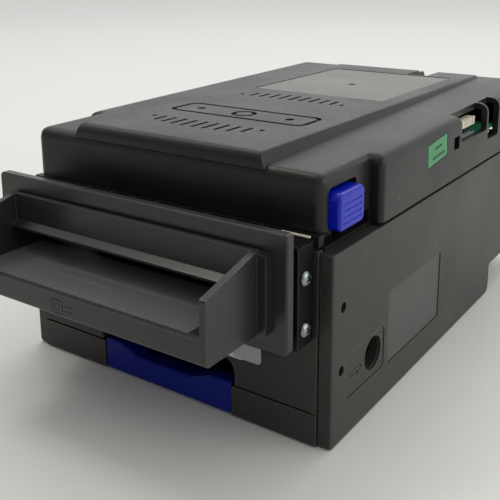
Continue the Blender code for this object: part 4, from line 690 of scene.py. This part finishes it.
def arrow(front, middle, line=0.0):
    """Corners of an arrow that points to the rear, drawn in by a line's width."""
    start, neck = front + line, front + ARROW_NECK + line
    shaft = ARROW_HALF_SHAFT - line
    head = ARROW_HALF_HEAD - (ARROW_TIP_LINE if line else 0.0)
    tip = front + ARROW_LENGTH - (ARROW_TIP_LINE if line else 0.0)
    return [
        (start, middle - shaft),
        (neck, middle - shaft),
        (neck, middle - head),
        (tip, middle),
        (neck, middle + head),
        (neck, middle + shaft),
        (start, middle + shaft),
    ]


def side_panels():
    """Both side panels, the blank label, and the lock plate with an arrow and two arcs."""
    refined("left_side_panel", 0.0003, 3, long_edge(0.0015))
    refined("right_side_panel", 0.0003, 3, long_edge(0.0015))
    dress("side_label")
    low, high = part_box("lock_plate")
    front, middle, face = low.y + ARROW_INDENT, (low.z + high.z) / 2, high.x
    outlines = [arrow(front, middle), arrow(front, middle, ARROW_LINE)]
    cutters = [flat("arrow_cut", "X", face - 0.0004, face + OVERSHOOT, outlines)]
    lock_low, lock_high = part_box("lock_cam")
    centre = ((lock_low.y + lock_high.y) / 2, LOCK_HEIGHT)
    inner, outer = RING_RADII
    for start in RING_STARTS:
        end = start + RING_SWEEP
        band = arc(centre, outer, start, end, 16) + arc(centre, inner, end, start, 16)
        cutters.append(flat("ring_cut", "X", face - MARK_DEPTH, face + OVERSHOOT, [band]))
    refined("lock_plate", 0.0002, 2, long_edge(0.003), cutters)


def emblem_frame(half_width, half_depth, radius):
    low = (-half_width, EMBLEM_Y - half_depth)
    high = (half_width, EMBLEM_Y + half_depth)
    return rounded_rectangle(low, high, radius)


def cover():
    """The hinged cover, with a plain note emblem sunk in its raised pad."""
    z = top_at("top_cover", -EMBLEM_DOT_X, EMBLEM_Y) - EMBLEM_DEPTH
    frames = [emblem_frame(*EMBLEM_FRAME), emblem_frame(*EMBLEM_FRAME_INSIDE)]
    rings = [circle((0, EMBLEM_Y), radius, 40) for radius in EMBLEM_RING]
    dots = [circle((side * EMBLEM_DOT_X, EMBLEM_Y), EMBLEM_DOT, 24) for side in (-1, 1)]
    cutters = [
        flat(name, "Z", z, z + 0.01, loops)
        for name, loops in (
            ("frame_cut", frames), ("ring_cut", rings), ("dot_cut", dots[:1]), ("dot_cut", dots[1:])
        )
    ]
    refined("top_cover", 0, cutters=cutters)
    dress("top_label")
    dress("seal_strip")
    sticker()
    connector_bay()


def sheet(name, node, look, axis, low, high, loop):
    """A thin printed or stuck-on sheet that rides with a node."""
    return wear(flat(name, axis, low, high, [loop]), node, look, replaces=False)


def sticker():
    """The green sticker, with two rows of plain dashes where a date would stand."""
    dress("inspection_sticker")
    low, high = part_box("inspection_sticker")
    middle = (low + high) / 2
    tilt = Matrix.Rotation(math.radians(PRINT_TILT), 2)
    half, tall = DASH_HALF
    for row, (height, dashes) in enumerate(PRINT_ROWS):
        for index in range(dashes):
            along = (index - (dashes - 1) / 2) * PRINT_PITCH + PRINT_INDENT
            corners = [
                tilt @ Vector((along + u * half, height + v * tall))
                for u, v in ((-1, -1), (1, -1), (1, 1), (-1, 1))
            ]
            loop = [(middle.y + corner.x, middle.z + corner.y) for corner in corners]
            name = f"print_{row}_{index}"
            sheet(name, "inspection_sticker", "ink", "X", high.x - 0.00001, high.x + 0.00003, loop)


def pin_header(low, high, foot, board_top):
    """The ribbed header body and the pins that carry it over the board."""
    body = block("pin_header_finished", (low.x, low.y, foot), high, 0.00015, 2)
    pitch = (high.y - low.y) / HEADER_RIBS
    cutters = []
    for index in range(1, HEADER_RIBS):
        y = low.y + index * pitch
        start = (low.x + 0.0012, y - 0.00035, foot + 0.0008)
        end = (high.x + OVERSHOOT, y + 0.00035, high.z + OVERSHOOT)
        cutters.append(block("rib_gap", start, end))
    combine(body, cutters)
    wear(smooth(body), "pin_header")
    x, middle = (low.x + high.x) / 2, (low.y + high.y) / 2
    for index in range(HEADER_PINS):
        y = middle + (index - (HEADER_PINS - 1) / 2) * PIN_PITCH
        start = (x - PIN_HALF, y - PIN_HALF, board_top + 0.00002)
        end = (x + PIN_HALF, y + PIN_HALF, foot + 0.0002)
        pin = block(f"header_pin_{index}", start, end, 0.00006, 1)
        wear(smooth(pin), "pin_header", "zinc_steel", replaces=False)


def solder(row, index, x, y, board_top):
    place = Matrix.Translation((x, y, board_top + 0.00001))
    joint = lathe(f"solder_{row}_{index}", SOLDER_DOME, place, 14)
    wear(smooth(joint), "sensor_board", "zinc_steel", replaces=False)


def aux_connector():
    """The small connector under the board, with its mouths cut in."""
    low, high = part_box("aux_connector")
    body = block("aux_connector_finished", low, high, 0.0002, 2)
    mouths = []
    for index in range(AUX_MOUTHS):
        y = low.y + (high.y - low.y) * (index + 0.5) / AUX_MOUTHS
        start = (high.x - 0.0008, y - 0.0006, low.z + 0.0004)
        end = (high.x + OVERSHOOT, y + 0.0006, high.z - 0.0005)
        mouths.append(block("mouth", start, end))
    combine(body, mouths)
    wear(smooth(body), "aux_connector")


def connector_bay():
    """The board with its header, two rows of solder, and the connector under it."""
    dress("sensor_board")
    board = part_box("sensor_board")[1]
    low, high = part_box("pin_header")
    pin_header(low, high, high.z - HEADER_HEIGHT, board.z)
    for row, x in enumerate(((low.x + high.x) / 2, board.x - 0.0009)):
        for index in range(SOLDER_JOINTS):
            solder(row, index, x, low.y + 0.0008 + index * SOLDER_PITCH, board.z)
    aux_connector()


def rib_highlights():
    """Lighter sheets on the tops of the comb ribs, seen in the gap under the cover: painted highlights."""
    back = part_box("bezel_mount")[1].y - COMB_MARGIN
    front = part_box("bezel")[1].y + COMB_MARGIN
    for index in range(COMB_RIBS):
        x = (index - (COMB_RIBS - 1) / 2) * COMB_PITCH
        z = top_at("bezel_mount", x, (front + back) / 2)
        x0, x1 = x - COMB_WIDTH / 2, x + COMB_WIDTH / 2
        loop = [(x0, front), (x1, front), (x1, back), (x0, back)]
        sheet(f"rib_highlight_{index}", "bezel_mount", "rib_highlight", "Z", z - 0.00001, z + 0.00004, loop)


def icon_cutters(face):
    """A plain icon on the tray's front: a frame, a ring in it and two bars beside it."""
    (x0, z0), (x1, z1) = ICON
    line = ICON_LINE
    outer = rounded_rectangle((x0, z0), (x1, z1), 0.0004, 3)
    inner = rounded_rectangle((x0 + line, z0 + line), (x1 - line, z1 - line), 0.0003, 3)
    centre = ((x0 + x1) / 2, (z0 + z1) / 2)
    drawn = [[outer, inner], [circle(centre, radius, 24) for radius in ICON_RING]]
    for height in ICON_BAR_HEIGHTS:
        low = (x1 + ICON_BAR_GAP, z0 + height)
        high = (low[0] + ICON_BAR_LENGTH, low[1] + line)
        drawn.append([rounded_rectangle(low, high, 0.0001, 2)])
    return [flat("icon_cut", "Y", face - OVERSHOOT, face + MARK_DEPTH, loops) for loops in drawn]


def bezel():
    """The bezel with its icon, its mount, and the sheets that lie on them."""
    rib_highlights()
    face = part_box("bezel")[0].y
    refined("bezel", 0.00035, 3, long_edge(0.0012), icon_cutters(face))
    refined("bezel_mount", 0.0003, 2, long_edge(0.0012), look="mount_moulding")
    tray_floor(face)


def tray_floor(front):
    """Lighter sheets on the tray floor: one near the lip as a painted reflection of the bright
    surroundings, a glossier one behind it that paints light into the tray's shade, and two strips of
    painted sheen.
    """
    floor = top_at("bezel", 0, front + 0.012)
    for name, look, left, right, near, far in (
        ("tray_painted_light", "tray_painted_light", -0.0490, 0.0490, front + 0.0192, front + 0.0330),
        ("tray_painted_reflection", "tray_painted_reflection", -0.0490, 0.0405, front + 0.0023, front + 0.0192),
        ("tray_sheen_near", "tray_painted_sheen", -0.0202, 0.0032, front + 0.0148, front + 0.0160),
        ("tray_sheen_far", "tray_painted_sheen", -0.0153, -0.0042, front + 0.0212, front + 0.0222),
    ):
        height = SHINE_THICKNESS if look == "tray_painted_sheen" else TRAY_SHEET_THICKNESS
        loop = rounded_rectangle((left, near), (right, far), 0.0004, 2)
        sheet(name, "bezel", look, "Z", floor, floor + height, loop)


def screw(node, side):
    """A pan head with a cross recess, facing out along X."""
    low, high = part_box(node)
    top = high.x if side > 0 else -low.x
    end = low.x if side > 0 else -high.x
    radius = (high.z - low.z) / 2
    base = top - HEAD_HEIGHT
    profile = [
        (0, top),
        (radius * 0.35, top - 0.00003),
        (radius * 0.62, top - 0.00016),
        (radius * 0.82, top - 0.00042),
        (radius * 0.95, top - 0.00080),
        (radius, top - 0.00115),
        (radius * 0.985, base),
        (SHANK_RADIUS, base),
        (SHANK_RADIUS, end + 0.0005),
        (0.0006, end),
        (0, end),
    ]
    place = Matrix.Translation((0, (low.y + high.y) / 2, (low.z + high.z) / 2))
    turn = Matrix.Rotation(math.radians(90 * side), 4, "Y")
    head = lathe(node + "_finished", profile, place @ turn)
    cutters = []
    for spin in (20, 110):
        shape = bmesh.new()
        bmesh.ops.create_cone(
            shape, cap_ends=True, segments=4, radius1=0.0008, radius2=0.0024, depth=0.0020
        )
        bmesh.ops.rotate(shape, matrix=Matrix.Rotation(math.radians(45), 3, "Z"), verts=shape.verts)
        bmesh.ops.scale(shape, vec=(1.0, 0.27, 1.0), verts=shape.verts)
        bmesh.ops.rotate(shape, matrix=Matrix.Rotation(math.radians(spin), 3, "Z"), verts=shape.verts)
        bmesh.ops.translate(shape, vec=(0, 0, top - RECESS_SINK), verts=shape.verts)
        bmesh.ops.transform(shape, matrix=place @ turn, verts=shape.verts)
        cutters.append(new_object("recess_cut", shape))
    combine(head, cutters)
    wear(smooth(head), node)


def button():
    """The release button: well rounded, with shallow grip grooves across its outer face."""
    low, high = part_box("release_button")
    shape = bmesh.new()
    bmesh.ops.create_cube(shape, size=1.0)
    bmesh.ops.scale(shape, vec=high - low, verts=shape.verts)
    bmesh.ops.translate(shape, vec=(low + high) / 2, verts=shape.verts)
    across = [edge for edge in shape.edges if abs((edge.verts[0].co - edge.verts[1].co).x) > 1e-4]
    bmesh.ops.bevel(shape, geom=across, offset=BUTTON_SIDE_ROUND, segments=6, profile=0.5, affect="EDGES")
    rim = [
        edge
        for edge in shape.edges
        if all(abs(vert.co.x - high.x) < 1e-6 for vert in edge.verts)
    ]
    bmesh.ops.bevel(shape, geom=rim, offset=BUTTON_RIM_ROUND, segments=5, profile=0.5, affect="EDGES")
    piece = new_object("release_button_finished", shape)
    cutters = []
    for index in range(GROOVES):
        z = low.z + GROOVE_START + index * GROOVE_PITCH
        start = (high.x - GROOVE_DEPTH, low.y + 0.0022, z)
        end = (high.x + OVERSHOOT, high.y - 0.0022, z + GROOVE_WIDTH)
        cutters.append(block("groove", start, end))
    combine(piece, cutters)
    wear(smooth(piece), "release_button")


def front():
    """The front panel, the base slide with its handle, and the two tabs."""
    refined("front_panel", 0.0003, 2, long_edge(0.0015))
    refined("base_slide", 0.0003, 2, long_edge(0.0015))
    refined("pull_handle", 0.0006, 3, long_edge(0.0004), sharp=50)
    dress("handle_screw_l", 0.0001)
    dress("handle_screw_r", 0.0001)
    dress("harness_tab_white", 0.0001)
    dress("harness_tab_clear", 0.0001)


def rest():
    """Everything not yet finished keeps its CAD shape."""
    for node, kept in NODES.items():
        if not kept.hide_render and not kept.modifiers:
            dress(node, 0.00015)


stage()
side_panels()
cover()
bezel()
for name, direction in (("left", -1), ("right", 1)):
    for level in ("lower", "upper"):
        screw(f"mount_screw_{name}_{level}", direction)
button()
front()
rest()
